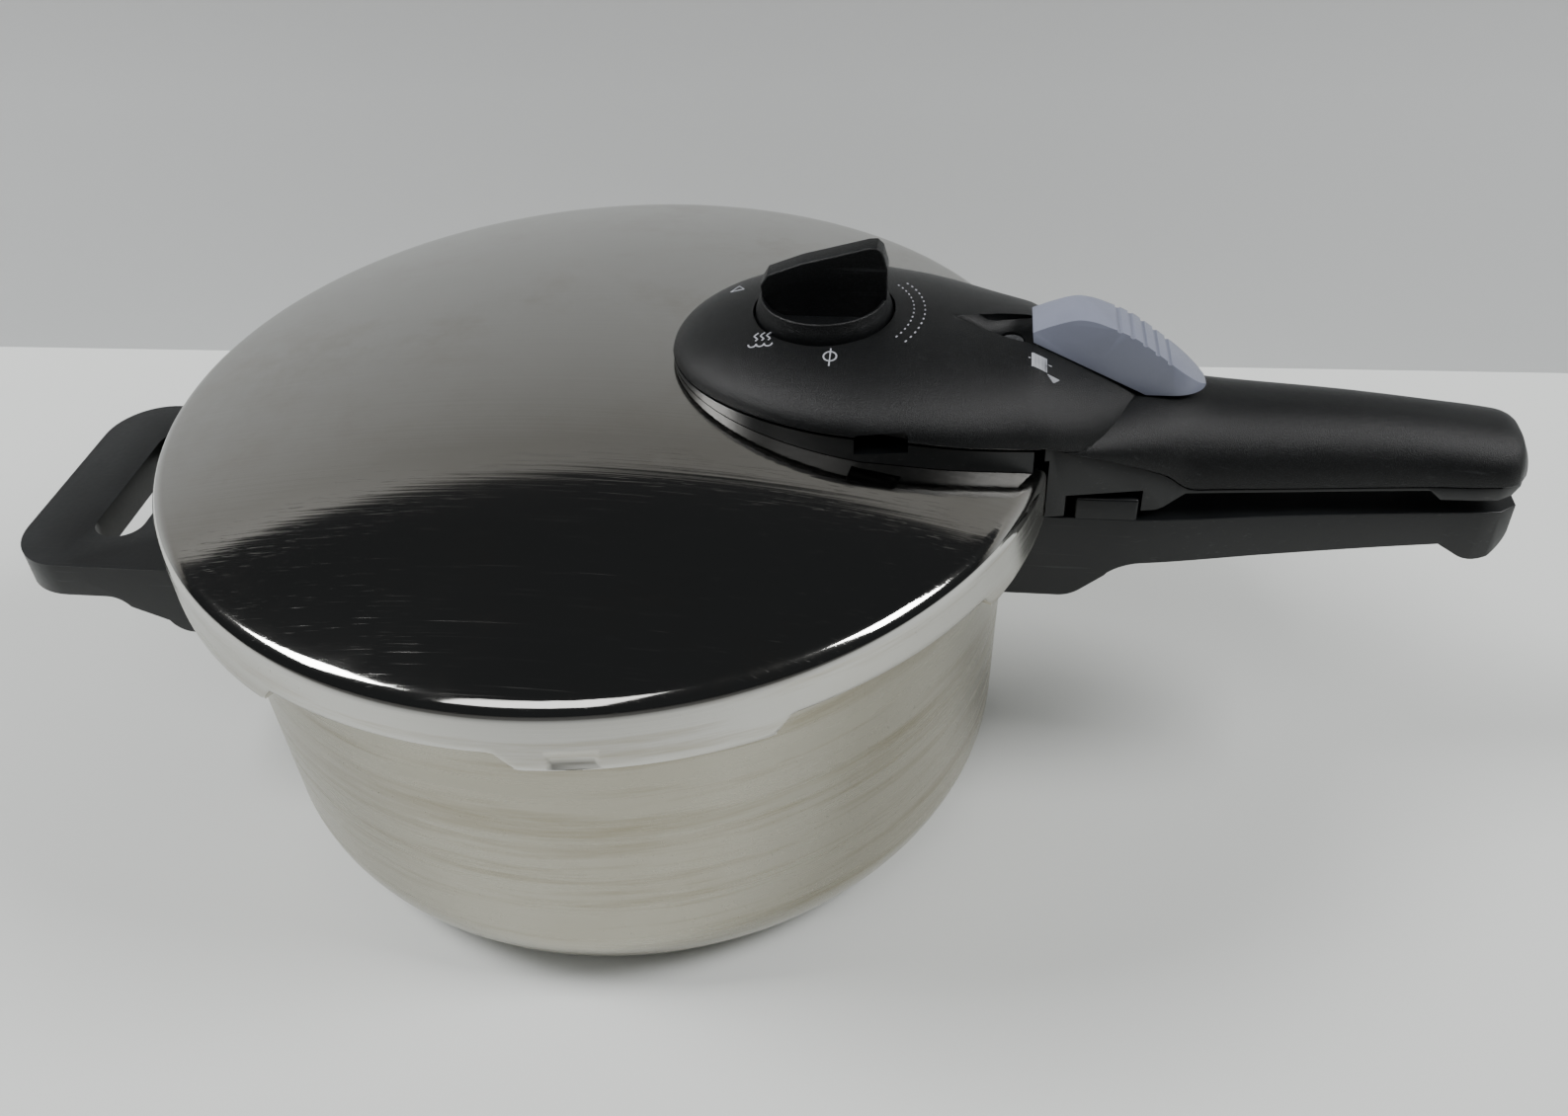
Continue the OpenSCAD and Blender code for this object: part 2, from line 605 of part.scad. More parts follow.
// Cam at the foot of the spindle that loads the valve's spring
module selector_cam() {
    color("white") union() {
        post(knob_x, 0, spindle_r + 1, cam_z0, cam_z0 + 1.5);
        post(knob_x, 0, 1.9, cam_z0 + 1.4, cam_z0 + 4);
    }
}

// ---- Lid lock ----
module slider() {
    x1 = slider_x0 + slider_len;
    step = slope_z(slope_u);
    color([0.62, 0.64, 0.72]) side_view([[slider_x0, step], [slider_x0 - 0.3, step + 2.4],
        [slider_x0 + 10.3, step + 6.1], [slider_x0 + 18.5, step + 4.3], [slider_x0 + 26, step + 0.7],
        [slider_x0 + 36.7, step - 7.5], [x1 - 0.6, knee_z + 1], [x1, knee_z], [knee_x, knee_z]], slider_w);
}
module lock_bolt() {
    x0 = tab_far + 1.2;
    color("silver") block(x0, x0 + 5.5, clear - slot_w, slot_w - clear, pot_h - 14.4, knee_z - 0.05);
}

// ---- Pot handle ----
function pot_grip_half(u) = handle_w * curve([[-14, 1], [23, 1], [58, 0.81], [83, 0.69],
    [grip_len - 12, 0.6], [grip_len - 4, 0.55], [grip_len, 0.4]], u);
handle_z = pot_h - 7.8 - grip_gap;        // top of the pot handle
// Tab on the pot handle with the slot that the lock bolt slides into
module pot_handle_tab() {
    color([0.11, 0.12, 0.13]) difference() {
        block(tab_x0, tab_x1, tab_y0, tab_y1, handle_z + lie / 2, handle_z + 6.4);
        block(tab_x1 - 8.5, tab_x1 + 1, -slot_w - 0.2, slot_w + 0.2, handle_z + 0.8, handle_z + 7);
    }
}
module pot_handle() {
    top = handle_z;
    foot = top - 26.4;
    us = steps(20, grip_len, 12);
    color([0.11, 0.12, 0.13]) difference() {
        union() {
            intersection() {
                plan_view(concat([[lid_r - 14, handle_w]], [for (u = us) [lid_r + u, pot_grip_half(u)]],
                    [for (u = rev(us)) [lid_r + u, -pot_grip_half(u)]], [[lid_r - 14, -handle_w]]),
                    foot - 1, top + 1);
                side_view(concat([[lid_r - 14, foot]], arc(lid_r + 3, foot + 9, 9, -90, -48, 4),
                    [[lid_r + 15, foot + 7.5]], arc(lid_r + 25, foot - 2, 14, 132, 95, 4),
                    [[lid_r + 61, foot + 14], [lid_r + grip_len - 18, foot + 16.3]],
                    arc(lid_r + grip_len - 8, foot + 19, 8, -130, -8, 6),
                    [[lid_r + grip_len, top - 1.2], [lid_r + grip_len - 1.2, top], [lid_r - 14, top]]),
                    handle_w + 1);
            }
        }
        pot_solid(lie);
        // bed of the steel bracket and its screw
        bracket_bed(lie);
        post(pot_screw_x, 0, screw_r + lie, foot - 1, bed_z + 0.5);
        post(pot_screw_x, 0, head_r + lie, foot - 1, bed_z - 3.2);
        post(pot_screw_x, 0, screw_r + fit, bed_z, bed_z + 7);
    }
}
module bracket_bed(g) {
    intersection() {
        ring(wall_r - 4, wall_r + clip_t + g, bed_z - 9 - g, bed_z + 5 + g);
        block(0, lid_r, -15 - g, 15 + g, bed_z - 10, bed_z + 6);
    }
    block(wall_r, pot_screw_x + 8 + g, -8 - g, 8 + g, bed_z - g, bed_z + clip_t + g);
}
module pot_handle_plate() {
    color("silver") difference() {
        bracket_bed(0);
        pot_solid(0.02);
        post(pot_screw_x, 0, screw_r + lie, bed_z - 1, bed_z + clip_t + 1);
    }
}
module pot_handle_screw() {
    color("silver") screw(pot_screw_x, 0, bed_z - 5.6, bed_z + 6);
}

// ---- Side handle ----
module side_handle() {
    x0 = -wall_r - side_reach;
    top = pot_h - 30.8;
    open_x = x0 + side_bar;
    foot = top - side_drop;
    color([0.1, 0.11, 0.12]) difference() {
        intersection() {
            translate([0, 0, foot - 1]) linear_extrude(height = side_drop + 2)
                rounded_rect(x0, 0, -side_w, side_w, 17);
            side_view(concat([[-wall_r + 8, top], [x0 + 1.5, top], [x0, top - 1.5]],
                arc(x0 + 5, top - side_t + 5, 5, 180, 270, 4),
                [[x0 + 28, top - side_t]], arc(x0 + 29, top - side_t - 7, 7, 90, 30, 4),
                arc(-wall_r - 9, foot + 6, 7, 205, 270, 4), [[-wall_r + 8, foot - 1]]), side_w + 1);
        }
        translate([0, 0, foot - 2]) linear_extrude(height = side_drop + 4)
            rounded_rect(open_x, open_x + side_open, -side_w + 14, side_w - 14, 6.5);
        pot_solid(lie);
        side_bed(lie);
        for (y = [-side_screw, side_screw]) {
            post(side_screw_x, y, screw_r + lie, foot - 1, side_z + 1);
            post(side_screw_x, y, head_r + lie, foot - 1, side_z - 3.2);
            post(side_screw_x, y, screw_r + fit, side_z, side_z + 6);
        }
    }
}
module side_bed(g) {
    intersection() {
        ring(wall_r - 4, wall_r + clip_t + g, side_z - 8 - g, side_z + 6 + g);
        block(-lid_r, 0, -26 - g, 26 + g, side_z - 9, side_z + 7);
    }
    for (s = [-1, 1]) block(side_screw_x - 6 - g, -wall_r * 0.97, s * side_screw - 6 - g,
        s * side_screw + 6 + g, side_z - g, side_z + clip_t + g);
}
module side_handle_plate() {
    color("silver") difference() {
        side_bed(0);
        pot_solid(0.02);
        for (y = [-side_screw, side_screw]) post(side_screw_x, y, screw_r + lie, side_z - 1, side_z + 3);
    }
}
module side_handle_screws() {
    color("silver") for (y = [-side_screw, side_screw]) screw(side_screw_x, y, side_z - 5.6, side_z + 5);
}

pot_shell();
base_core();
base_cap();
pot_handle();
pot_handle_tab();
pot_handle_plate();
pot_handle_screw();
side_handle();
side_handle_plate();
side_handle_screws();
gasket();
lid_shell();
lid_clip();
handle_base();
handle_top();
handle_bracket();
handle_screw();
valve_housing();
valve_washer();
valve_nut();
valve_spring();
indicator_seal();
relief_body();
relief_washer();
relief_nut();
relief_spring();
selector_knob();
selector_ring();
selector_cam();
slider();
lock_bolt();
indicator_pin();
valve_plug();
relief_poppet();
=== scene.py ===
import bpy, bmesh, json
from math import sin, cos, asin, pi, radians, sqrt, hypot, atan2
from mathutils import Vector, Matrix


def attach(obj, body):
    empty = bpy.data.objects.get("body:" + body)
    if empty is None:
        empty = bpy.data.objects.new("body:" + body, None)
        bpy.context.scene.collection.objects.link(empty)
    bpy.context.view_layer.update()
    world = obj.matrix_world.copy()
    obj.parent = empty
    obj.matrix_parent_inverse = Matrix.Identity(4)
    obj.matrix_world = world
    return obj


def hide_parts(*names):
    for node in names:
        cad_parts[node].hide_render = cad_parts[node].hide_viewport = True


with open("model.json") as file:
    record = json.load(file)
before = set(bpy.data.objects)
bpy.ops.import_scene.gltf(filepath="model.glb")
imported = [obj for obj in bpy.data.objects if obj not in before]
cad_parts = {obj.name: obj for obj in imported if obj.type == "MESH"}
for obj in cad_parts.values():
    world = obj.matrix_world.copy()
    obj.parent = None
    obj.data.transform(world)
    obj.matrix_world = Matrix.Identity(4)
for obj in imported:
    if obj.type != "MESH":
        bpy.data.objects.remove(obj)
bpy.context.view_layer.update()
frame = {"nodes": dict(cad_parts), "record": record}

mm = 0.001


def curveAt(table, x):
    # smooth curve through the table's points, read at x
    k = max([i for i in range(len(table) - 1) if table[i][0] <= x] or [0])

    def slope(i):
        a, b = max(i - 1, 0), min(i + 1, len(table) - 1)
        return (table[b][1] - table[a][1]) / (table[b][0] - table[a][0])
    w = table[k + 1][0] - table[k][0]
    s = (x - table[k][0]) / w
    return ((2 * s**3 - 3 * s**2 + 1) * table[k][1] + (s**3 - 2 * s**2 + s) * w * slope(k)
            + (3 * s**2 - 2 * s**3) * table[k + 1][1] + (s**3 - s**2) * w * slope(k + 1))


def spread(a, b, n):
    return [a + (b - a) * i / n for i in range(n + 1)]


def arcPoints(x, z, r, a0, a1, n):
    return [(x + r * cos(radians(a)), z + r * sin(radians(a))) for a in spread(a0, a1, n)]


def meshObject(name, bm, smoothDeg=35):
    bmesh.ops.remove_doubles(bm, verts=bm.verts, dist=0.00001)
    bmesh.ops.recalc_face_normals(bm, faces=bm.faces)
    mesh = bpy.data.meshes.new(name)
    bm.to_mesh(mesh)
    bm.free()
    piece = bpy.data.objects.new(name, mesh)
    bpy.context.scene.collection.objects.link(piece)
    smoothByAngle(piece, smoothDeg)
    return piece


def smoothByAngle(piece, deg):
    mesh = piece.data
    mesh.shade_smooth()
    bm = bmesh.new()
    bm.from_mesh(mesh)
    for e in bm.edges:
        e.smooth = len(e.link_faces) == 2 and e.calc_face_angle(0) < radians(deg)
    bm.to_mesh(mesh)
    bm.free()


def applyModifiers(piece, smoothDeg=35):
    graph = bpy.context.evaluated_depsgraph_get()
    mesh = bpy.data.meshes.new_from_object(piece.evaluated_get(graph))
    piece.modifiers.clear()
    old = piece.data
    piece.data = mesh
    bpy.data.meshes.remove(old)
    mesh.name = piece.name
    smoothByAngle(piece, smoothDeg)
    return piece


def combine(piece, other, operation):
    m = piece.modifiers.new("join", "BOOLEAN")
    m.operation = operation
    m.solver = "EXACT"
    m.object = other
    applyModifiers(piece)
    bpy.data.objects.remove(other)
    return piece


def rounded(piece, width, segments=3, deg=30):
    m = piece.modifiers.new("edges", "BEVEL")
    m.width = width * mm
    m.segments = segments
    m.limit_method = "ANGLE"
    m.angle_limit = radians(deg)
    m.profile = 0.5
    m.harden_normals = False
    return applyModifiers(piece, 40)


def spun(name, profile, steps=192, deg=360, start=0, centre=(0, 0), closed=True, smoothDeg=35):
    # profile: (radius, height) points in mm, turned about an upright axis
    bm = bmesh.new()
    ring = [bm.verts.new((r * mm, 0, z * mm)) for r, z in profile]
    pairs = list(zip(ring, ring[1:])) + ([(ring[-1], ring[0])] if closed else [])
    edges = [bm.edges.new(p) for p in pairs]
    whole = deg >= 360
    if not whole:
        bm.faces.new(ring)
        bmesh.ops.rotate(bm, verts=ring, cent=(0, 0, 0), matrix=Matrix.Rotation(radians(start), 3, "Z"))
    geom = ring + edges if whole else bm.faces[:] + ring + bm.edges[:]
    bmesh.ops.spin(bm, geom=geom, cent=(0, 0, 0), axis=(0, 0, 1), angle=radians(deg), steps=steps,
                   use_merge=whole, use_duplicate=False)
    bmesh.ops.translate(bm, verts=bm.verts, vec=(centre[0] * mm, centre[1] * mm, 0))
    return meshObject(name, bm, smoothDeg)


def lofted(name, sections, smoothDeg=35):
    # sections: closed rings of (x, y, z) points in mm, all with the same count
    bm = bmesh.new()
    loops = []
    for pts in sections:
        verts = [bm.verts.new((x * mm, y * mm, z * mm)) for x, y, z in pts]
        loops.append([bm.edges.new((verts[i - 1], verts[i])) for i in range(len(verts))])
    for a, b in zip(loops, loops[1:]):
        bmesh.ops.bridge_loops(bm, edges=a + b)
    bmesh.ops.contextual_create(bm, geom=loops[0])
    bmesh.ops.contextual_create(bm, geom=loops[-1])
    return meshObject(name, bm, smoothDeg)


def extruded(name, points, low, high, axis="z", smoothDeg=35):
    # axis z: (x, y) outline between two heights; axis y: (x, z) outline between two depths
    bm = bmesh.new()
    upright = axis == "z"
    starts = [(a * mm, b * mm, low * mm) if upright else (a * mm, low * mm, b * mm) for a, b in points]
    face = bm.faces.new([bm.verts.new(place) for place in starts])
    grown = bmesh.ops.extrude_face_region(bm, geom=[face])
    moved = [v for v in grown["geom"] if isinstance(v, bmesh.types.BMVert)]
    way = (0, 0, (high - low) * mm) if upright else (0, (high - low) * mm, 0)
    bmesh.ops.translate(bm, verts=moved, vec=way)
    return meshObject(name, bm, smoothDeg)


def boxPiece(name, x0, x1, y0, y1, z0, z1):
    return extruded(name, [(x0, y0), (x1, y0), (x1, y1), (x0, y1)], z0, z1)


def tube(name, x, y, r, z0, z1, steps=64):
    return spun(name, [(0, z0), (r, z0), (r, z1), (0, z1)], steps, centre=(x, y), closed=False)


def cutBoxes(piece, *boxes):
    # boxes: (name, low x, high x, low y, high y, low z, high z) in mm
    for box in boxes:
        piece = combine(piece, boxPiece(*box), "DIFFERENCE")
    return piece


def cutTubes(piece, *tubes):
    # tubes: (name, x, y, radius, low z, high z, steps) in mm
    for bore in tubes:
        piece = combine(piece, tube(*bore), "DIFFERENCE")
    return piece


def dressed(piece, body, slot, material, *replaced):
    piece.data.materials.clear()
    piece.data.materials.append(material)
    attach(piece, body)
    if replaced:
        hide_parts(*replaced)
    return piece


def makeGroup(name, inputs, outputs):
    group = bpy.data.node_groups.new(name, "ShaderNodeTree")
    for label, kind, value in inputs:
        s = group.interface.new_socket(name=label, in_out="INPUT", socket_type=kind)
        if value is not None:
            s.default_value = value
    for label, kind in outputs:
        group.interface.new_socket(name=label, in_out="OUTPUT", socket_type=kind)
    return group, group.nodes.new("NodeGroupInput"), group.nodes.new("NodeGroupOutput")


def node(tree, kind, links=None, **values):
    n = tree.nodes.new(kind)
    for key, value in values.items():
        if hasattr(n, key):
            setattr(n, key, value)
        else:
            n.inputs[key].default_value = value
    for socket, source in (links or {}).items():
        tree.links.new(source, n.inputs[socket])
    return n


def mathNode(tree, operation, a, b=None, c=None, clamp=False):
    n = tree.nodes.new("ShaderNodeMath")
    n.operation = operation
    n.use_clamp = clamp
    for i, v in enumerate((a, b, c)):
        if v is None:
            continue
        if isinstance(v, (int, float)):
            n.inputs[i].default_value = v
        else:
            tree.links.new(v, n.inputs[i])
    return n.outputs[0]


def noiseOf(tree, vector, scale, detail=3.0, rough=0.5):
    n = tree.nodes.new("ShaderNodeTexNoise")
    n.inputs["Scale"].default_value = scale
    n.inputs["Detail"].default_value = detail
    n.inputs["Roughness"].default_value = rough
    tree.links.new(vector, n.inputs["Vector"])
    return n.outputs["Fac"]


def rampOf(tree, fac, low, high, a=(0, 0, 0, 1), b=(1, 1, 1, 1)):
    n = tree.nodes.new("ShaderNodeValToRGB")
    n.color_ramp.elements[0].position = low
    n.color_ramp.elements[0].color = a
    n.color_ramp.elements[1].position = high
    n.color_ramp.elements[1].color = b
    tree.links.new(fac, n.inputs["Fac"])
    return n.outputs["Color"]


def scaledCoords(tree, scale, rotation=(0, 0, 0)):
    tc = tree.nodes.new("ShaderNodeTexCoord")
    mp = tree.nodes.new("ShaderNodeMapping")
    mp.inputs["Scale"].default_value = scale
    mp.inputs["Rotation"].default_value = rotation
    tree.links.new(tc.outputs["Object"], mp.inputs["Vector"])
    return mp.outputs["Vector"]


def scratchGroup():
    # hair-fine scratches in several directions and soft smudges, from Object coordinates
    kind = "NodeSocketFloat"
    g, gin, gout = makeGroup("fineWear", [("Scratch Scale", kind, 60.0), ("Smudge Scale", kind, 14.0)],
                             [("Scratches", kind), ("Smudges", kind)])
    total = None
    for turn in (12, 74, 131):
        v = scaledCoords(g, (0.5, 60.0, 18.0), (0, 0, radians(turn)))
        n = node(g, "ShaderNodeTexNoise", {"Vector": v}, Detail=2.0, Roughness=0.6)
        g.links.new(gin.outputs["Scratch Scale"], n.inputs["Scale"])
        line = rampOf(g, n.outputs["Fac"], 0.67, 0.8)
        total = line if total is None else mathNode(g, "MAXIMUM", total, line)
    g.links.new(total, gout.inputs["Scratches"])
    v = scaledCoords(g, (1, 1, 1))
    s = node(g, "ShaderNodeTexNoise", {"Vector": v}, Detail=5.0, Roughness=0.62, Distortion=0.8)
    g.links.new(gin.outputs["Smudge Scale"], s.inputs["Scale"])
    g.links.new(rampOf(g, s.outputs["Fac"], 0.42, 0.72), gout.inputs["Smudges"])
    return g


def grainGroup():
    # moulded sparkle grain: tight noise with a few bright flecks
    g, gin, gout = makeGroup("mouldGrain", [("Scale", "NodeSocketFloat", 900.0)],
                             [("Grain", "NodeSocketFloat"), ("Flecks", "NodeSocketFloat")])
    v = scaledCoords(g, (1, 1, 1))
    a = node(g, "ShaderNodeTexNoise", {"Vector": v}, Detail=4.0, Roughness=0.7)
    g.links.new(gin.outputs["Scale"], a.inputs["Scale"])
    b = node(g, "ShaderNodeTexVoronoi", {"Vector": v})
    g.links.new(gin.outputs["Scale"], b.inputs["Scale"])
    g.links.new(a.outputs["Fac"], gout.inputs["Grain"])
    flecks = rampOf(g, b.outputs["Distance"], 0.08, 0.3, (1, 1, 1, 1), (0, 0, 0, 1))
    g.links.new(flecks, gout.inputs["Flecks"])
    return g


fineWear = scratchGroup()
mouldGrain = grainGroup()


def newMaterial(name):
    m = bpy.data.materials.new(name)
    m.use_nodes = True
    t = m.node_tree
    bsdf = t.nodes["Principled BSDF"]
    return m, t, bsdf


def grouped(tree, group, **values):
    n = tree.nodes.new("ShaderNodeGroup")
    n.node_tree = group
    for key, value in values.items():
        n.inputs[key.replace("_", " ")].default_value = value
    return n


def mixColour(tree, fac, a, b):
    n = tree.nodes.new("ShaderNodeMix")
    n.data_type = "RGBA"
    for i, v in ((6, a), (7, b)):
        if isinstance(v, tuple):
            n.inputs[i].default_value = v
        else:
            tree.links.new(v, n.inputs[i])
    if isinstance(fac, (int, float)):
        n.inputs[0].default_value = fac
    else:
        tree.links.new(fac, n.inputs[0])
    return n.outputs[2]


def bumpOf(tree, height, strength, distance):
    n = tree.nodes.new("ShaderNodeBump")
    n.inputs["Strength"].default_value = strength
    n.inputs["Distance"].default_value = distance
    tree.links.new(height, n.inputs["Height"])
    return n.outputs["Normal"]


def polishedSteel():
    # near-mirror dome with hair scratches, faint brush lines and brownish smudges
    look = {"clean": (0.5, 0.495, 0.475, 1), "smudge": (0.38, 0.345, 0.3, 1), "rough": 0.07}
    m, t, bsdf = newMaterial("polishedSteel")
    wear = grouped(t, fineWear, Scratch_Scale=42.0, Smudge_Scale=11.0)
    fineSmudge = noiseOf(t, scaledCoords(t, (1, 1, 1)), 60.0, 6.0, 0.7)
    blot = mathNode(t, "MULTIPLY", wear.outputs["Smudges"], rampOf(t, fineSmudge, 0.45, 0.8))
    t.links.new(mixColour(t, blot, look["clean"], look["smudge"]), bsdf.inputs["Base Color"])
    bsdf.inputs["Metallic"].default_value = 1.0
    r = mathNode(t, "MULTIPLY_ADD", wear.outputs["Scratches"], 0.16, look["rough"])
    r = mathNode(t, "MULTIPLY_ADD", blot, 0.12, r)
    r = mathNode(t, "MULTIPLY_ADD", wear.outputs["Smudges"], 0.03, r)
    t.links.new(r, bsdf.inputs["Roughness"])
    brush = noiseOf(t, scaledCoords(t, (6, 900, 60), (0, 0, radians(-12))), 1.0, 2.0)
    h = mathNode(t, "MULTIPLY_ADD", wear.outputs["Scratches"], -0.8, brush)
    t.links.new(bumpOf(t, h, 0.035, 0.0004), bsdf.inputs["Normal"])
    return m


def satinSteel(name="satinSteel", rough=0.25, lines=700.0, tint=(0.4, 0.385, 0.325, 1)):
    # brushed round the wall: lines stretched along the turn, with scuffs and faint stains
    m, t, bsdf = newMaterial(name)
    wear = grouped(t, fineWear, Scratch_Scale=30.0, Smudge_Scale=17.0)
    brush = noiseOf(t, scaledCoords(t, (14, 14, lines * 2.2)), 1.0, 3.0, 0.65)
    swirl = noiseOf(t, scaledCoords(t, (9, 9, 160), (radians(7), radians(-9), 0)), 1.0, 4.0, 0.6)
    streaks = noiseOf(t, scaledCoords(t, (8, 8, 150), (radians(5), radians(-6), 0)), 1.0, 6.0, 0.7)
    faint = mathNode(t, "MULTIPLY", wear.outputs["Smudges"], 0.2)
    stain = mathNode(t, "MULTIPLY_ADD", rampOf(t, streaks, 0.5, 0.66), 0.75, faint, clamp=True)
    stained = (tint[0] * 0.7, tint[1] * 0.66, tint[2] * 0.56, 1)
    t.links.new(mixColour(t, stain, tint, stained), bsdf.inputs["Base Color"])
    bsdf.inputs["Metallic"].default_value = 1.0
    bsdf.inputs["Anisotropic"].default_value = 0.75
    r = mathNode(t, "MULTIPLY_ADD", brush, 0.16, rough - 0.08)
    r = mathNode(t, "MULTIPLY_ADD", rampOf(t, swirl, 0.5, 0.7), 0.08, r)
    r = mathNode(t, "MULTIPLY_ADD", wear.outputs["Scratches"], 0.1, r)
    t.links.new(r, bsdf.inputs["Roughness"])
    h = mathNode(t, "MULTIPLY_ADD", swirl, 0.6, brush)
    t.links.new(bumpOf(t, h, 0.08, 0.0003), bsdf.inputs["Normal"])
    return m


def blackGrained():
    # phenolic with a sparkle grain and slightly polished wear
    m, t, bsdf = newMaterial("blackGrained")
    grain = grouped(t, mouldGrain, Scale=3400.0)
    wear = grouped(t, fineWear, Scratch_Scale=40.0, Smudge_Scale=30.0)
    colour = mixColour(t, grain.outputs["Flecks"], (0.0015, 0.0018, 0.002, 1), (0.03, 0.033, 0.037, 1))
    scuffs = mathNode(t, "MULTIPLY", wear.outputs["Scratches"], 0.25)
    t.links.new(mixColour(t, scuffs, colour, (0.06, 0.063, 0.066, 1)), bsdf.inputs["Base Color"])
    r = mathNode(t, "MULTIPLY_ADD", grain.outputs["Grain"], 0.3, 0.2)
    r = mathNode(t, "MULTIPLY_ADD", wear.outputs["Smudges"], 0.05, r)
    t.links.new(r, bsdf.inputs["Roughness"])
    bsdf.inputs["Specular IOR Level"].default_value = 0.3
    t.links.new(bumpOf(t, grain.outputs["Grain"], 0.6, 0.00025), bsdf.inputs["Normal"])
    return m


def blackSmooth():
    # smooth satin phenolic with scuffs
    m, t, bsdf = newMaterial("blackSmooth")
    wear = grouped(t, fineWear, Scratch_Scale=50.0, Smudge_Scale=26.0)
    fine = noiseOf(t, scaledCoords(t, (1, 1, 1)), 700.0, 3.0)
    colour = mixColour(t, wear.outputs["Smudges"], (0.003, 0.0036, 0.004, 1), (0.006, 0.007, 0.0076, 1))
    scuffs = mathNode(t, "MULTIPLY", wear.outputs["Scratches"], 0.3)
    t.links.new(mixColour(t, scuffs, colour, (0.07, 0.072, 0.074, 1)), bsdf.inputs["Base Color"])
    r = mathNode(t, "MULTIPLY_ADD", fine, 0.14, 0.27)
    r = mathNode(t, "MULTIPLY_ADD", wear.outputs["Smudges"], 0.07, r)
    t.links.new(r, bsdf.inputs["Roughness"])
    bsdf.inputs["Specular IOR Level"].default_value = 0.38
    t.links.new(bumpOf(t, fine, 0.12, 0.0002), bsdf.inputs["Normal"])
    return m


def satinPlastic(name, colour, worn, rough=0.36):
    m, t, bsdf = newMaterial(name)
    wear = grouped(t, fineWear, Scratch_Scale=70.0, Smudge_Scale=45.0)
    fine = noiseOf(t, scaledCoords(t, (1, 1, 1)), 1100.0, 3.0)
    mask = mathNode(t, "MULTIPLY", wear.outputs["Smudges"], 0.5)
    t.links.new(mixColour(t, mask, colour, worn), bsdf.inputs["Base Color"])
    t.links.new(mathNode(t, "MULTIPLY_ADD", fine, 0.16, rough - 0.06), bsdf.inputs["Roughness"])
    t.links.new(bumpOf(t, fine, 0.15, 0.00015), bsdf.inputs["Normal"])
    return m


def turnedMetal(name, colour, rough):
    m, t, bsdf = newMaterial(name)
    wear = grouped(t, fineWear, Scratch_Scale=90.0, Smudge_Scale=60.0)
    turning = noiseOf(t, scaledCoords(t, (40, 40, 2600)), 1.0, 2.0)
    t.links.new(mixColour(t, wear.outputs["Smudges"], colour, tuple(0.72 * c for c in colour[:3]) + (1,)),
                bsdf.inputs["Base Color"])
    bsdf.inputs["Metallic"].default_value = 1.0
    t.links.new(mathNode(t, "MULTIPLY_ADD", turning, 0.18, rough - 0.08), bsdf.inputs["Roughness"])
    t.links.new(bumpOf(t, turning, 0.1, 0.0002), bsdf.inputs["Normal"])
    return m


def sealRubber():
    m, t, bsdf = newMaterial("sealRubber")
    fine = noiseOf(t, scaledCoords(t, (1, 1, 1)), 500.0, 4.0)
    colour = mixColour(t, fine, (0.03, 0.03, 0.03, 1), (0.075, 0.073, 0.07, 1))
    t.links.new(colour, bsdf.inputs["Base Color"])
    t.links.new(mathNode(t, "MULTIPLY_ADD", fine, 0.2, 0.6), bsdf.inputs["Roughness"])
    t.links.new(bumpOf(t, fine, 0.2, 0.0003), bsdf.inputs["Normal"])
    return m


print("materials")
looks = {
    "polished": polishedSteel(),
    "satin": satinSteel(),
    "skirt": satinSteel("skirtSteel", 0.2, 300.0, (0.55, 0.545, 0.515, 1)),
    "grained": blackGrained(),
    "smooth": blackSmooth(),
    "lavender": satinPlastic("lavenderGrey", (0.19, 0.205, 0.265, 1), (0.15, 0.16, 0.205, 1), 0.3),
    "print": satinPlastic("printGrey", (0.34, 0.35, 0.38, 1), (0.2, 0.21, 0.23, 1), 0.5),
    "pin": satinPlastic("pinGrey", (0.07, 0.072, 0.076, 1), (0.04, 0.042, 0.045, 1), 0.25),
    "white": satinPlastic("camWhite", (0.7, 0.7, 0.68, 1), (0.6, 0.6, 0.57, 1)),
    "brass": turnedMetal("brass", (0.62, 0.47, 0.2, 1), 0.3),
    "zinc": turnedMetal("zinc", (0.58, 0.58, 0.58, 1), 0.3),
    "aluminium": turnedMetal("aluminium", (0.7, 0.7, 0.71, 1), 0.35),
    "rubber": sealRubber(),
}
slotLook = {"polished_steel": "polished", "satin_steel": "satin", "aluminium": "aluminium",
            "black_grained": "grained", "black_smooth": "smooth", "lavender_grey": "lavender",
            "seal_rubber": "rubber", "pin_grey": "pin", "cam_white": "white", "brass": "brass",
            "hardware": "zinc"}
for sub in frame["record"]["subparts"]:
    cad = frame["nodes"][sub["node"]]
    cad.data.materials.clear()
    cad.data.materials.append(looks[slotLook[sub["material_slot"]]])

print("pot")
lid = {"radius": 120.0, "edgeZ": 116.4, "rise": 20.8, "roll": 5.0, "steel": 1.2, "skirt": 9.7, "lug": 14.8}
pot = {"wall": 109.7, "taper": 2.4, "corner": 26.4, "base": 6.0, "mouth": 105.2, "flange": 103.4,
       "lobe": 117.5, "lobeHalfDeg": 13.5}
lugs = {"count": 6, "start": -75, "pitch": 60, "halfDeg": 14, "inner": 113.7}


def cornerDeg(height, r):
    # the angle at which an arc of radius r has gone this far down
    return -57.3 * asin(height / r)


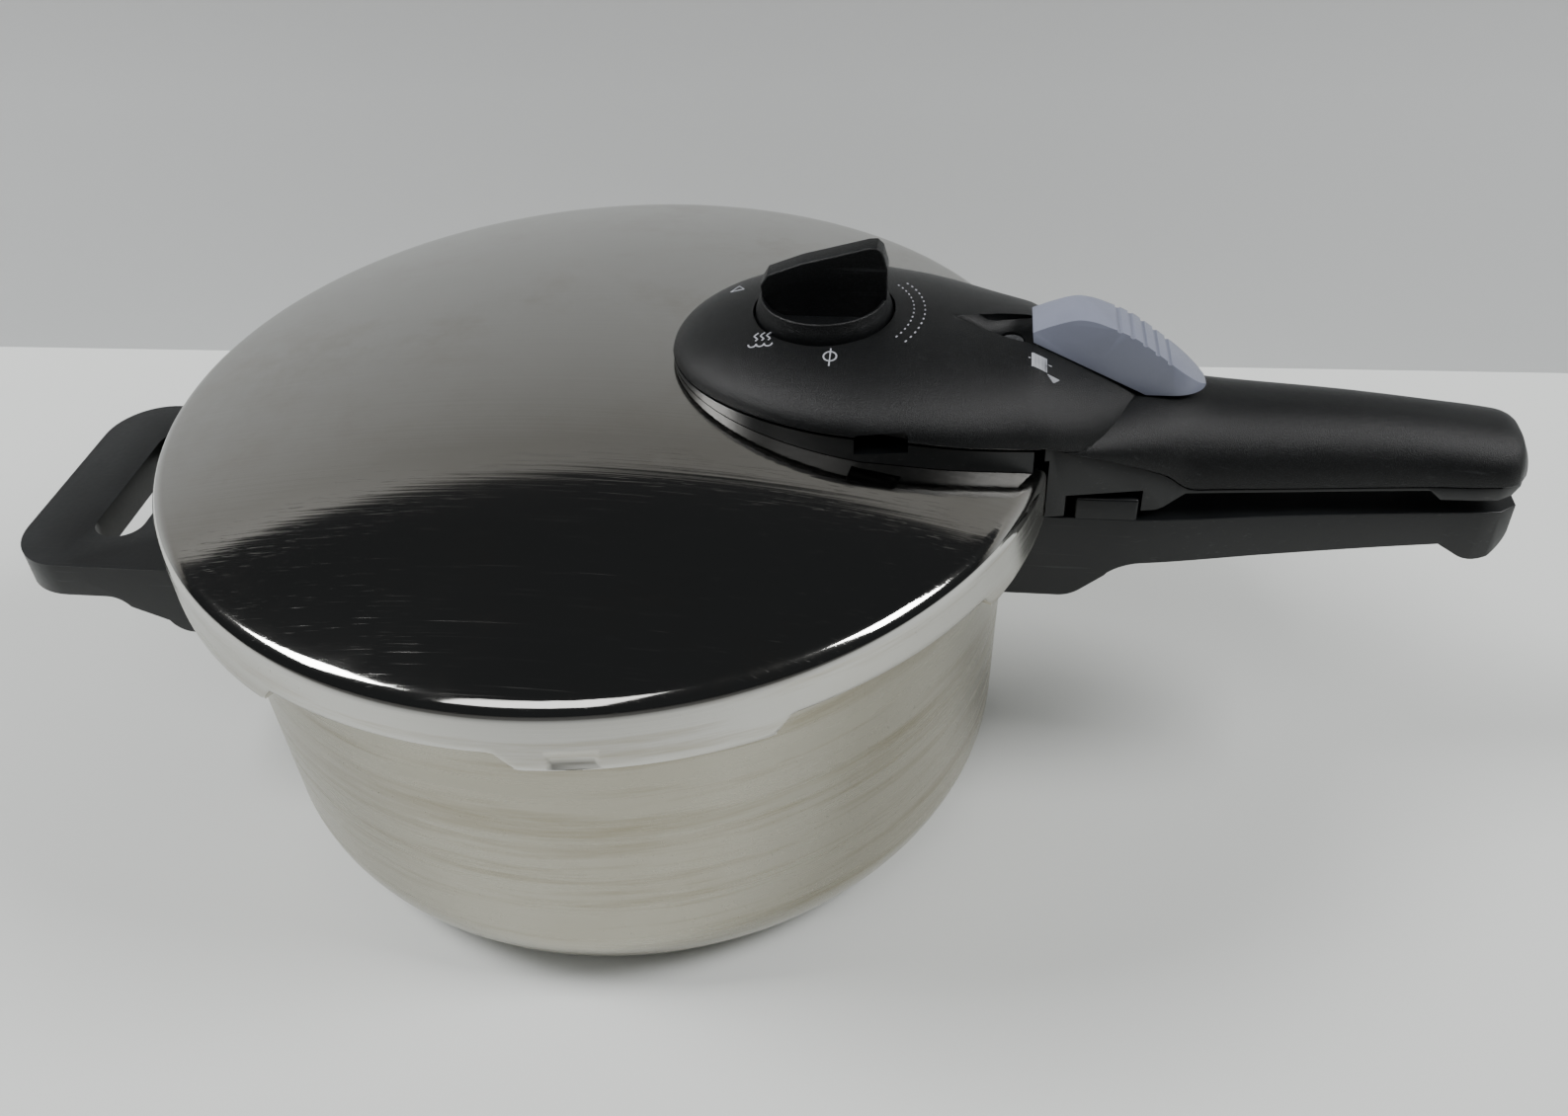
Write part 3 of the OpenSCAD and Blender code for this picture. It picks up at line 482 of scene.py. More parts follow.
def potBody():
    flat = pot["wall"] - pot["taper"] - pot["corner"]

    def corner(r, zLow, n=18):
        return arcPoints(flat, pot["corner"], r, cornerDeg(pot["corner"] - zLow, r), 0, n)

    t = lid["steel"]
    outer = [(flat * k / 6, pot["base"]) for k in range(6)] + corner(pot["corner"], pot["base"])
    wall = [(pot["wall"] - pot["taper"] * (1 - k / 8),
             pot["corner"] + (pot["flange"] - pot["corner"]) * k / 8) for k in range(1, 9)]
    rim = arcPoints(pot["wall"] + 1.2, pot["flange"] - 0.6, 1.2, 180, 90, 4)[1:]
    rim += [(pot["wall"] + 3.2, pot["flange"] + 0.6)]
    r, mouth = pot["wall"], pot["mouth"]
    top = [(r + 3.5, mouth - 0.4), (r + 3.1, mouth), (r, mouth), (r - t + 0.5, mouth - 0.2), (r - t, mouth - 0.9)]
    inner = [(x - t, z) for x, z in reversed(wall[:-1])] + corner(pot["corner"] - t, pot["base"] + t)[::-1]
    inner += [(flat * k / 6, pot["base"] + t) for k in range(5, -1, -1)]
    piece = spun("potBody", outer + wall + rim + top + inner, 256, closed=False)
    return dressed(piece, "pot", "satin_steel", looks["satin"], "pot_shell")


def potLobes():
    piece = None
    z0, z1, x0, x1 = pot["flange"], pot["mouth"], pot["wall"] + 1, pot["lobe"]
    profile = [(x0, z0), (x1 - 0.3, z0), (x1, z0 + 0.3), (x1, z1 - 0.3), (x1 - 0.3, z1), (x0, z1)]
    for k in range(lugs["count"]):
        start = lugs["start"] + k * lugs["pitch"] - pot["lobeHalfDeg"]
        piece = joined(piece, spun("lobe", profile, 16, 2 * pot["lobeHalfDeg"], start))
    piece.name = "potLobes"
    return dressed(piece, "pot", "satin_steel", looks["satin"])


def joined(piece, other):
    if piece is None:
        return other
    bm = bmesh.new()
    bm.from_mesh(piece.data)
    bm.from_mesh(other.data)
    bm.to_mesh(piece.data)
    bm.free()
    bpy.data.objects.remove(other)
    return piece


def baseCap():
    flat = pot["wall"] - pot["taper"] - pot["corner"]
    sheet = 0.8

    def edge(r, n=12):
        return arcPoints(flat, pot["corner"], r, -90, cornerDeg(pot["corner"] - pot["base"], r), n)

    outer = [(0, 0), (flat * 0.5, 0)] + edge(pot["corner"])
    inner = edge(pot["corner"] - sheet)[::-1] + [(flat * 0.5, sheet), (0, sheet)]
    piece = spun("baseCap", outer + inner, 192, closed=False)
    return dressed(piece, "pot", "satin_steel", looks["satin"], "base_cap")


potBody()
potLobes()
baseCap()

print("lid")
domeR = (((lid["radius"] - lid["roll"]) ** 2 + lid["rise"] ** 2 - lid["roll"] ** 2)
         / (2 * (lid["rise"] - lid["roll"])))
domeMid = lid["edgeZ"] + lid["rise"] - domeR
domeDeg = 57.29578 * asin((lid["radius"] - lid["roll"]) / (domeR - lid["roll"]))


def domeZ(r, offset=0.0):
    return domeMid + sqrt((domeR + offset) ** 2 - r * r)


def lugDepth(deg):
    # 0 on the shallow stretches, 1 on the lugs, with short sloped shoulders
    off = abs((deg - lugs["start"] + lugs["pitch"] / 2) % lugs["pitch"] - lugs["pitch"] / 2)
    return min(1.0, max(0.0, (15.9 - off) / 2.2))


stamp = {"deg": -82.6, "z": 104.9}


def stampTool():
    # a shallow four-sided pocket pressed into one lug
    rings = []
    for out, half, tall in ((0.6, 6.4, 3.1), (0.0, 6.25, 3.0), (-0.85, 4.6, 1.5)):
        rings.append([(lid["radius"] + out, sy * half, stamp["z"] + sz * tall)
                      for sy, sz in ((-1, -1), (1, -1), (1, 1), (-1, 1))])
    tool = lofted("stamp", rings)
    tool.data.transform(Matrix.Rotation(radians(stamp["deg"]), 4, "Z"))
    return tool


def lidDome():
    t = lid["steel"]
    R, z, roll = lid["radius"], lid["edgeZ"], lid["roll"]
    outer = arcPoints(0, domeMid, domeR, 90, 90 - domeDeg, 36)[:-1]
    outer += arcPoints(R - roll, z, roll, 90 - domeDeg, 0, 8)
    skirt = [(R, z - lid["skirt"] * k / 9) for k in range(1, 9)]
    hem = [(R - 0.1, z - lid["skirt"] + 0.35), (R - 0.4, z - lid["skirt"]), (R - 0.8, z - lid["skirt"]),
           (R - t, z - lid["skirt"] + 0.35)]
    inside = [(R - t, z - lid["skirt"] * k / 9) for k in range(8, 0, -1)]
    under = arcPoints(R - roll, z, roll - t, 0, 90 - domeDeg, 6)
    under += arcPoints(0, domeMid, domeR - t, 90 - domeDeg, 90, 30)[1:]
    piece = spun("lidDome", outer + skirt + hem + inside + under, 480, closed=False)
    for v in piece.data.vertices:
        r = hypot(v.co.x, v.co.y)
        if r < (R - 3) * mm or v.co.z >= z * mm - 1e-7:
            continue
        deg = 57.29578 * atan2(v.co.y, v.co.x)
        deep = lid["skirt"] + (lid["lug"] - lid["skirt"]) * lugDepth(deg)
        v.co.z = z * mm - (z * mm - v.co.z) * deep / lid["skirt"]
    piece = combine(piece, stampTool(), "DIFFERENCE")
    dressed(piece, "lid", "polished_steel", looks["polished"], "lid_shell")
    piece.data.materials.append(looks["skirt"])
    for f in piece.data.polygons:
        if f.center.z < (z - 0.3) * mm:
            f.material_index = 1
    return piece


def lidLugs():
    piece = None
    x0, x1, z0 = lid["radius"] - 0.6, lugs["inner"], lid["edgeZ"] - lid["lug"]
    profile = [(x0, z0), (x0, z0 + 1.1), (x1 + 0.4, z0 + 1.1), (x1, z0 + 0.8), (x1, z0 + 0.3),
               (x1 + 0.4, z0)]
    for k in range(lugs["count"]):
        start = lugs["start"] + k * lugs["pitch"] - lugs["halfDeg"]
        piece = joined(piece, spun("lug", profile, 16, 2 * lugs["halfDeg"], start))
    piece.name = "lidLugs"
    return dressed(piece, "lid", "polished_steel", looks["skirt"])


lidDome()
lidLugs()

print("lid handle")
cover = {"half": 40.0, "wide": -48.0, "nose": 52.0, "rise": 13.5, "slopeU": -7.5, "kneeU": 21.5,
         "kneeZ": 130.3, "shell": 3.0, "gap": 0.6, "squareness": 2.1}
gripSquareness = 2.3
knob = {"x": 59.6, "radius": 17.5, "height": 8.0, "spindle": 6.0}
tongueBed = ("tongueBed", 118, 169.2, -7.15, 7.15, 111.85, 113.95)
clipBed = ("clipBed", 118, 122.4, -12.3, 12.3, 105.85, 113.95)
bolt = {"x0": 134.9, "x1": 151.3, "half": 2.4}
ventAt = {"x0": 70, "x1": 83, "y": -45}
lidScrewX = 162
screwHole, headHole = 2.35, 4.15
slideAt = {"x0": 112.5, "length": 44.6, "half": 7.2}
coverWidths = [(-48, 1), (-27, 0.92), (-8, 0.775), (2, 0.68), (14, 0.47), (21.5, 0.24), (25, 0.05)]
seamHeights = [(-100, 1.6), (-60, 4), (-48, 5), (-18, 5.3), (-6, 5.9)]
crownHeights = [(-48, 18.5), (-35, 20.1), (-19, 21.1), (-7.5, 22.5)]
gripWidths = [(-5, 28.5), (2, 26.6), (14, 23.2), (27, 20.3), (33, 19.3), (57, 17.3), (94, 14.4), (108, 14),
              (115, 12.6), (118, 8.5)]
gripHeights = [(-5, 11.6), (2, 13), (14, 14), (21.5, 13.9), (30, 13), (40, 11.4), (77, 9.1), (111, 5.1),
               (116, 3.1), (118, -0.6)]
grainHeights = [(-5, 10.8), (27, -1.8), (33, -6.2), (40, -6.8), (118, -6.8)]
slopeZ0 = domeZ(lid["radius"] + cover["slopeU"]) + cover["rise"] + 9
slopeK = (cover["kneeZ"] - slopeZ0) / (cover["kneeU"] - cover["slopeU"])
recessZ = domeZ(knob["x"]) + 13.4
scoopZ = domeZ(107.0) + 17.6
pinX = 107.4


def noseShare(u):
    t = (cover["wide"] - u) / cover["nose"]
    return sqrt(max(0.0, 1 - t * t))


def coverHalf(u):
    if u > 25:
        return 0.0
    return cover["half"] * (noseShare(u) if u < cover["wide"] else curveAt(coverWidths, u))


def seamZ(u):
    v = min(u, -6)
    return domeZ(lid["radius"] + v) + curveAt(seamHeights, v) - max(0, u + 6) * 0.15


def slopeZ(u):
    return slopeZ0 + (u - cover["slopeU"]) * slopeK


def crownZ(u):
    if u >= cover["slopeU"]:
        return slopeZ(u)
    if u < cover["wide"]:
        return domeZ(lid["radius"] + u) + (curveAt(seamHeights, u) + cover["rise"] * noseShare(u))
    return domeZ(lid["radius"] + u) + curveAt(crownHeights, u)


def grainZ(u):
    return lid["edgeZ"] + curveAt(grainHeights, u)


def halfRound(y, w, b, c, full):
    if abs(y) >= w or c <= b:
        return b
    return b + (c - b) * (1 - (abs(y) / w) ** full) ** (1 / full)


def coverSurface(x, y):
    u = x - lid["radius"]
    foot = seamZ(u) if u < -5 else grainZ(u)
    return halfRound(y, coverHalf(u), foot, crownZ(u), cover["squareness"])


def roundSection(u, w, b, c, full, n=56, lip=0.6):
    x = lid["radius"] + u
    lip = min(lip, 0.3 * w, 0.5 * max(0.02, c - b))
    ys = [w * cos(pi * i / n) for i in range(n + 1)]
    top = [(x, y, max(b + lip, halfRound(y, w, b, c, full))) for y in ys]
    foot = [(x, -w + 0.7 * lip, b + 0.25 * lip), (x, -w + 2 * lip, b), (x, w - 2 * lip, b)]
    return [(x, w - 0.7 * lip, b + 0.25 * lip)] + top + foot


def halfOutline(us, half):
    # one side of an outline along the grip, half as wide as half(u)
    return [(lid["radius"] + u, half(u)) for u in us]


def mirrored(points):
    return points + [(x, -y) for x, y in reversed(points)]


def coverUs(inset, tail):
    nose = [cover["wide"] - (cover["nose"] - inset) * cos(radians(a)) for a in range(4, 89, 4)]
    return nose + spread(cover["wide"], tail, int((tail - cover["wide"]) / 1.5))


def coverLoft():
    rings = []
    for u in coverUs(0.0, 24.5):
        b = seamZ(u) if u < -5 else grainZ(u) + 0.8
        rings.append(roundSection(u, coverHalf(u), b, max(crownZ(u), b + 0.1), cover["squareness"], lip=0.9))
    return lofted("handleTop", rings)


def gripLoft():
    us = spread(-5, 108, 76) + [110, 112, 113.5, 115, 116, 116.8, 117.4, 117.8, 118]
    rings = []
    for u in us:
        crown = lid["edgeZ"] + curveAt(gripHeights, u)
        rings.append(roundSection(u, curveAt(gripWidths, u), grainZ(u), crown, gripSquareness))
    return lofted("grip", rings)


def coverRoom(inset, tops):
    us = [u for u in coverUs(inset, -9) if coverHalf(u) > inset + 0.5]
    outline = mirrored(halfOutline(us, lambda u: coverHalf(u) - inset))
    plan = extruded("room", outline, lid["edgeZ"] - 5, lid["edgeZ"] + 50)
    x0, x1, low = lid["radius"] + us[0], lid["radius"] + us[-1], lid["edgeZ"] - 3
    side = halfOutline(us, tops) + [(x1, low), (x0, low)]
    return combine(plan, extruded("roomSide", side, -41, 41, "y"), "INTERSECT")


def handleTop():
    top = combine(coverLoft(), gripLoft(), "UNION")
    top = combine(top, coverRoom(7, lambda u: seamZ(u) + 4.5), "DIFFERENCE")
    top = combine(top, coverRoom(18, lambda u: crownZ(u) - 7), "DIFFERENCE")
    hollow = mirrored(halfOutline(spread(44, 106, 6), lambda u: curveAt(gripWidths, u) - 4.5))
    top = combine(top, extruded("gripRoom", hollow, lid["edgeZ"] - 9, lid["edgeZ"] + 0.5), "DIFFERENCE")
    top = cutTubes(top, ("recess", knob["x"], 0, knob["radius"] + 0.7, recessZ, recessZ + 30, 128),
                   ("spindleBore", knob["x"], 0, knob["spindle"] + 0.05, recessZ - 9, recessZ + 1))
    top = combine(top, scoopTool(), "DIFFERENCE")
    top = cutTubes(top, ("pinBore", pinX, 0, 3.2, scoopZ - 9, scoopZ + 1, 48))
    x0, knee = slideAt["x0"], cover["kneeZ"]
    bed = [(x0 - 9, slopeZ(-16.5) + 0.15), (141.5, knee - 0.15), (157.5, knee - 0.15), (158.5, knee + 1),
           (158.5, knee + 20), (x0 - 9, knee + 30)]
    top = combine(top, extruded("slideBed", bed, -7.5, 7.5, "y"), "DIFFERENCE")
    top = cutBoxes(top, ("boltSlot", bolt["x0"], bolt["x1"], -bolt["half"], bolt["half"], 96, 150))
    seam = seamZ(-44)
    vent = boxPiece("vent", ventAt["x0"], ventAt["x1"], ventAt["y"], ventAt["y"] + 9, seam - 2, seam + 2)
    top = combine(top, rounded(vent, 1.4, 4), "DIFFERENCE")
    top = cutBoxes(top, tongueBed)
    top = cutTubes(top, ("screwBore", lidScrewX, 0, 1.9, 112, 121, 32))
    return dressed(top, "lid", "black_grained", looks["grained"], "handle_top")


def scoopTool():
    # dished approach to the slider, narrow in front and as wide as the slider behind
    rings = []
    turns = [pi * k / 12 for k in range(24)]
    for x, w, z in ((93, 1.2, crownZ(-27) - 0.1), (97, 2.6, scoopZ + 4.3), (101, 4.0, scoopZ + 1.3),
                    (103.5, 5.2, scoopZ + 0.2), (107, 6.2, scoopZ), (111, 7.0, scoopZ),
                    (113.6, 7.3, scoopZ)):
        rings.append([(x, w * cos(a), z + (14 if sin(a) > 0.02 else 2.2 * abs(cos(a)) ** 3)) for a in turns])
    return lofted("scoop", rings)


def shellLoft(name, inset, floor, roof, tail):
    rings = []
    for u in coverUs(inset + 0.2, tail):
        w = coverHalf(u) - inset
        if w < 0.6:
            continue
        x = lid["radius"] + u
        ys = spread(-w, w, 28)
        low = [(x, y, domeZ(hypot(x, y)) + floor) for y in ys]
        high = [(x, y, max(seamZ(u) + roof, domeZ(hypot(x, y)) + floor + 0.3)) for y in reversed(ys)]
        rings.append(low + high)
    return lofted(name, rings)


def handleBase():
    base = shellLoft("handleBase", 0.8, 0.15, -cover["gap"], -6.5)
    base = combine(base, shellLoft("baseRoom", 0.8 + cover["shell"], 2.15, 12, -9.5), "DIFFERENCE")
    base = cutTubes(base, ("selectorBore", knob["x"], 0, 9.3, 112, 157, 48),
                    ("pinBore", pinX, 0, 6.9, 112, 157, 48), ("reliefBore", 82, -17, 8.8, 112, 157, 48))
    seam = seamZ(-44)
    base = cutBoxes(base, ("ventCut", ventAt["x0"], ventAt["x1"], ventAt["y"], -20, seam - 4, seam + 2))
    return dressed(base, "lid", "black_smooth", looks["smooth"], "handle_base")


handleTop()
handleBase()


def lidSolid(g, zLow):
    R, roll = lid["radius"], lid["roll"]
    profile = [(0, zLow), (R + g, zLow)] + arcPoints(R - roll, lid["edgeZ"], roll + g, 0, 90 - domeDeg, 8)
    profile += arcPoints(0, domeMid, domeR + g, 90 - domeDeg, 90, 24)
    return spun("lidSolid", profile, 256, closed=False)


def handleBracket():
    x0 = 116.5
    plan = [(x0, 25), (150, 19.2)] + halfOutline(spread(34, 117, 14), lambda u: curveAt(gripWidths, u) - 0.4)
    body = extruded("handleBracket", mirrored(plan), 96, 136)
    z0, strip, low = 103.8, 108.6, 105.8
    side = [(x0, z0), (146, z0), (148, z0 + 0.8), (153, strip), (214, strip), (217, low), (235, low),
            (237, low + 2)] + halfOutline([117] + spread(40, -3.5, 20), lambda u: grainZ(u) - 0.15)
    body = combine(body, extruded("bracketSide", side, -26, 26, "y"), "INTERSECT")
    body = combine(body, tube("lidRoom", 0, 0, 120.3, 95, 121.4, 256), "DIFFERENCE")
    body = combine(body, lidSolid(0.3, 96), "DIFFERENCE")
    notch = spun("notch", [(124.9, z0 - 1), (143.65, z0 - 1), (143.65, 110.2), (124.9, 110.2)], 48, 62, -54)
    keep = boxPiece("notchKeep", 100, 160, -60, 12.5, z0 - 2, 111)
    body = combine(body, combine(notch, keep, "INTERSECT"), "DIFFERENCE")
    body = rounded(body, 0.7, 2, 40)
    boltSlot = ("boltSlot", bolt["x0"], bolt["x1"], -bolt["half"], bolt["half"], z0 - 1, 136)
    body = cutBoxes(body, boltSlot, tongueBed, clipBed)
    body = cutTubes(body, ("screwBore", lidScrewX, 0, screwHole, 100, 113, 32),
                    ("headBore", lidScrewX, 0, headHole, 100, 108.8, 32))
    return dressed(body, "lid", "black_smooth", looks["smooth"], "handle_bracket")


handleBracket()

print("selector")


def selectorKnob():
    z0 = recessZ + 0.3
    z1, r, x = z0 + knob["height"], knob["radius"], knob["x"]
    profile = [(0, z0), (r - 0.6, z0), (r - 0.1, z0 + 0.5), (r - 0.1, z1 - 5), (r - 0.6, z1 - 3.4)]
    profile += arcPoints(r - 1.8, z1 - 1.7, 0.5, 0, 180, 8)
    profile += [(r - 2.9, z1 - 2.8), (r - 4.4, z1 - 4.8), (r - 7, z1 - 6.2), (0, z1 - 6.4)]
    dial = spun("selectorKnob", profile, 160, centre=(x, 0), closed=False)
    fin = [(x - r + 2.2, z1 - 7), (x + r - 2.2, z1 - 7), (x + r - 1.4, z1 - 1), (x + r * 0.93, z1 + 7),
           (x + r * 0.86, z1 + 11.5), (x + r * 0.78, z1 + 12.9), (x + r * 0.66, z1 + 12.8),
           (x + r * 0.3, z1 + 11.1), (x - r * 0.3, z1 + 8.3), (x - r * 0.8, z1 + 4.9),
           (x - r * 0.9, z1 + 2.0), (x - r + 1.9, z1 - 1)]
    blade = rounded(extruded("fin", fin, -2.9, 2.9, "y"), 0.5, 3, 50)
    dial = combine(dial, blade, "UNION")
    s = knob["spindle"]
    stem = [(2, 137.8), (s, 137.8), (s, 142.1), (5, 142.1), (5, 143.5), (s, 143.5), (s, z0 + 1), (0, z0 + 1),
            (0, 141.8), (2, 141.8)]
    dial = combine(dial, spun("stem", stem, 64, centre=(x, 0), closed=False), "UNION")
    return dressed(dial, "selector", "black_grained", looks["grained"], "selector_knob")


selectorKnob()

print("slider")


def lockSlider():
    x0, step, w = slideAt["x0"], slopeZ(cover["slopeU"]), slideAt["half"]
    x1 = x0 + slideAt["length"]
    top = [(x0 - 0.3, step + 2.4), (x0 + 5, step + 4.6), (x0 + 10.3, step + 6.1), (x0 + 14.5, step + 5.7),
           (x0 + 18.5, step + 4.3), (x0 + 22.5, step + 2.6), (x0 + 26, step + 0.7), (x0 + 36.7, step - 7.5),
           (x1 - 0.6, cover["kneeZ"] + 1)]
    fine = [(x, curveAt(top, x)) for x in spread(x0 - 0.3, x1 - 0.6, 44)]
    side = [(x0, step)] + fine + [(x1, cover["kneeZ"]), (141.5, cover["kneeZ"])]
    piece = extruded("lockSlider", side, -w, w, "y")
    tail = arcPoints(x1 - 9, 0, 9, -90, 90, 20)
    plan = extruded("tail", [(x0 - 1, -w)] + [(x, w / 9 * y) for x, y in tail] + [(x0 - 1, w)], 120, 160)
    piece = combine(piece, plan, "INTERSECT")
    for v in piece.data.vertices:
        over = v.co.z / mm - slopeZ(max(cover["slopeU"], min(cover["kneeU"], v.co.x / mm - lid["radius"])))
        if over > 1.2:
            v.co.y *= 0.88
    piece = rounded(piece, 0.6, 3, 40)
    for k in range(5):
        x = x0 + 21.0 + 3.3 * k
        groove = spun("groove", [(0, -9), (0.8, -9), (0.8, 9), (0, 9)], 24, closed=False)
        place = Matrix.Translation((x * mm, 0, (curveAt(top, x) + 0.3) * mm))
        groove.data.transform(place @ Matrix.Rotation(radians(90), 4, "X"))
        piece = combine(piece, groove, "DIFFERENCE")
    return dressed(piece, "lock", "lavender_grey", looks["lavender"], "slider")


lockSlider()

print("pot handle")
potGrip = [(-14, 1), (23, 1), (58, 0.81), (83, 0.69), (106, 0.6), (114, 0.55), (118, 0.4)]


def potSolid(g):
    flat = pot["wall"] - pot["taper"] - pot["corner"]
    low = cornerDeg(pot["corner"] - pot["base"], pot["corner"] + g)
    profile = [(0, pot["base"])] + arcPoints(flat, pot["corner"], pot["corner"] + g, low, 0, 14)
    profile += [(pot["wall"] + g, pot["mouth"]), (0, pot["mouth"])]
    return spun("potSolid", profile, 256, closed=False)


def potHandle():
    top, foot, half, inside, screwX = 101.0, 74.6, 21, 106, 137
    plan = [(inside, half)] + halfOutline(spread(20, 118, 22), lambda u: half * curveAt(potGrip, u))
    body = extruded("potHandle", mirrored(plan), foot - 1, top + 1)
    side = [(inside, foot)] + arcPoints(123, foot + 9, 9, -90, -48, 8) + [(135, foot + 7.5)]
    side += arcPoints(145, foot - 2, 14, 132, 95, 8) + [(181, foot + 14), (220, foot + 16.3)]
    side += arcPoints(230, foot + 19, 8, -130, -8, 12) + [(238, top), (inside, top)]
    body = combine(body, extruded("handleSide", side, -22, 22, "y"), "INTERSECT")
    body = combine(body, potSolid(-4), "DIFFERENCE")
    body = rounded(body, 2.6, 5, 45)
    tab = rounded(boxPiece("tab", 125.5, 141.5, -21, 11, top - 3, top + 6.4), 0.7, 3, 45)
    body = combine(body, tab, "UNION")
    body = combine(body, potSolid(0.15), "DIFFERENCE")
    body = cutBoxes(body, ("boltSlot", 133, 142.5, -2.6, 2.6, top + 0.8, top + 7),
                    ("plateBed", 100, 145.15, -8.15, 8.15, 89.25, 91.35),
                    ("plateBed", 100, 111.9, -15.15, 15.15, 80.25, 94.55))
    body = cutTubes(body, ("screwBore", screwX, 0, screwHole, foot - 1, 96.4, 32),
                    ("headBore", screwX, 0, headHole, foot - 1, 86.2, 32))
    return dressed(body, "pot", "black_smooth", looks["smooth"], "pot_handle", "pot_handle_tab")


potHandle()

print("side handle")


def roundedRect(x0, x1, half, r, n=14):
    pts = arcPoints(x1 - r, half - r, r, 0, 90, n) + arcPoints(x0 + r, half - r, r, 90, 180, n)
    return pts + arcPoints(x0 + r, r - half, r, 180, 270, n) + arcPoints(x1 - r, r - half, r, 270, 360, n)


def sideHandle():
    x0, top = -170.2, 85.6
    foot, wall = top - 21.5, -109.7
    body = extruded("sideHandle", roundedRect(x0, -84, 40.5, 17), foot - 1, top + 1)
    side = [(wall + 12, top), (x0, top)] + arcPoints(x0 + 5, top - 5.5, 5, 180, 270, 8)
    side += [(x0 + 28, top - 10.5)]
    side += arcPoints(x0 + 29, top - 17.5, 7, 90, 30, 8) + arcPoints(wall - 9, foot + 6, 7, 205, 270, 8)
    side += [(wall + 12, foot - 1)]
    body = combine(body, extruded("profile", side, -42, 42, "y"), "INTERSECT")
    gap = extruded("gap", roundedRect(x0 + 19.5, x0 + 34, 26.5, 6.5, 10), foot - 2, top + 2)
    body = combine(body, gap, "DIFFERENCE")
    body = combine(body, potSolid(-6), "DIFFERENCE")
    body = rounded(body, 2.2, 5, 50)
    body = combine(body, potSolid(0.15), "DIFFERENCE")
    body = cutBoxes(body, ("bed", -111.9, -100, -26.15, 26.15, 70.25, 84.55))
    for y in (-16, 16):
        body = cutBoxes(body, ("bed", -123.85, -105, y - 6.15, y + 6.15, 78.25, 80.35))
        body = cutTubes(body, ("screwBore", -117.7, y, screwHole, foot - 2, 84.4, 32),
                        ("headBore", -117.7, y, headHole, foot - 2, 75.2, 32))
    return dressed(body, "pot", "black_smooth", looks["smooth"], "side_handle")


sideHandle()

print("signs")


def printedStrokes(name, strokes, width=0.26):
    data = bpy.data.curves.new(name, "CURVE")
    data.dimensions = "3D"
    data.bevel_depth = width * mm
    data.bevel_resolution = 2
    data.use_fill_caps = True
    for points in strokes:
        line = data.splines.new("POLY")
        line.points.add(len(points) - 1)
        for p, (x, y) in zip(line.points, points):
            p.co = (x * mm, y * mm, (coverSurface(x, y) - 0.55 * width) * mm, 1)
    holder = bpy.data.objects.new(name, data)
    bpy.context.scene.collection.objects.link(holder)
    graph = bpy.context.evaluated_depsgraph_get()
    mesh = bpy.data.meshes.new_from_object(holder.evaluated_get(graph))
    bpy.data.objects.remove(holder)
    piece = bpy.data.objects.new(name, mesh)
    bpy.context.scene.collection.objects.link(piece)
    mesh.shade_smooth()
    return dressed(piece, "lid", "lavender_grey", looks["print"])


steam = [[(43.8 + 1.6 * k + 0.5 * sin(1.5 * j), -15.4 + 0.6 * j) for j in range(6)] for k in range(3)]
steam += [arcPoints(43.2 + 2.0 * k, -16.6, 1.0, 180, 360, 8) for k in range(3)]
timer = [arcPoints(63.0, -21.6, 1.6, 0, 360, 20), [(63.0, -24.9), (63.0, -18.9)]]
dots = [arcPoints(knob["x"], 0, r, a, a + 1.6, 2) for r in (22.8, 25.6) for a in range(-34, 38, 5)]
potSign = [[(112.2 + 0.35 * j, -15.2), (112.2 + 0.35 * j, -10.6)] for j in range(11)]
potSign += [[(111.2, -12.4), (117.0, -12.4)]]
marks = [[(33.6, 12), (35.4, 15.4), (37.2, 12), (33.6, 12)]]
marks += [[(117.4 - 0.3 * j, -17.4 + 0.35 * j), (117.4 + 0.3 * j, -17.4 + 0.35 * j)] for j in range(6)]
printedStrokes("printedSigns", steam + timer + dots + potSign + marks)

print("room")


def planeOf(name, width, depth, place, tilt):
    bm = bmesh.new()
    bmesh.ops.create_grid(bm, x_segments=1, y_segments=1, size=0.5)
    bmesh.ops.scale(bm, vec=(width, depth, 1), verts=bm.verts)
    bmesh.ops.transform(bm, matrix=Matrix.Translation(place) @ tilt, verts=bm.verts)
    mesh = bpy.data.meshes.new(name)
    bm.to_mesh(mesh)
    bm.free()
    piece = bpy.data.objects.new(name, mesh)
    bpy.context.scene.collection.objects.link(piece)
    return piece


def axisRamp(tree, value, start, end, low, high):
    share = tree.nodes.new("ShaderNodeMapRange")
    share.inputs["From Min"].default_value = start
    share.inputs["From Max"].default_value = end
    tree.links.new(value, share.inputs["Value"])
    return rampOf(tree, share.outputs["Result"], 0.0, 1.0, low, high)


def shadeFadePaint(name, axis, low, high, start, end):
    # painted shade: plain paint that changes evenly along one axis, darker towards one end
    m, t, bsdf = newMaterial(name)
    parts = t.nodes.new("ShaderNodeSeparateXYZ")
    t.links.new(scaledCoords(t, (1, 1, 1)), parts.inputs["Vector"])
    t.links.new(axisRamp(t, parts.outputs[axis], start, end, low, high), bsdf.inputs["Base Color"])
    bsdf.inputs["Roughness"].default_value = 0.75
    bsdf.inputs["Specular IOR Level"].default_value = 0.2
    return m


def oneSided(m):
    # the wall is open from behind, so the back of the cooker can be seen
    t = m.node_tree
    facing = t.nodes.new("ShaderNodeNewGeometry")
    clear = t.nodes.new("ShaderNodeBsdfTransparent")
    mix = t.nodes.new("ShaderNodeMixShader")
    t.links.new(facing.outputs["Backfacing"], mix.inputs[0])
    t.links.new(t.nodes["Principled BSDF"].outputs[0], mix.inputs[1])
    t.links.new(clear.outputs[0], mix.inputs[2])
    t.links.new(mix.outputs[0], t.nodes["Material Output"].inputs["Surface"])
    return m


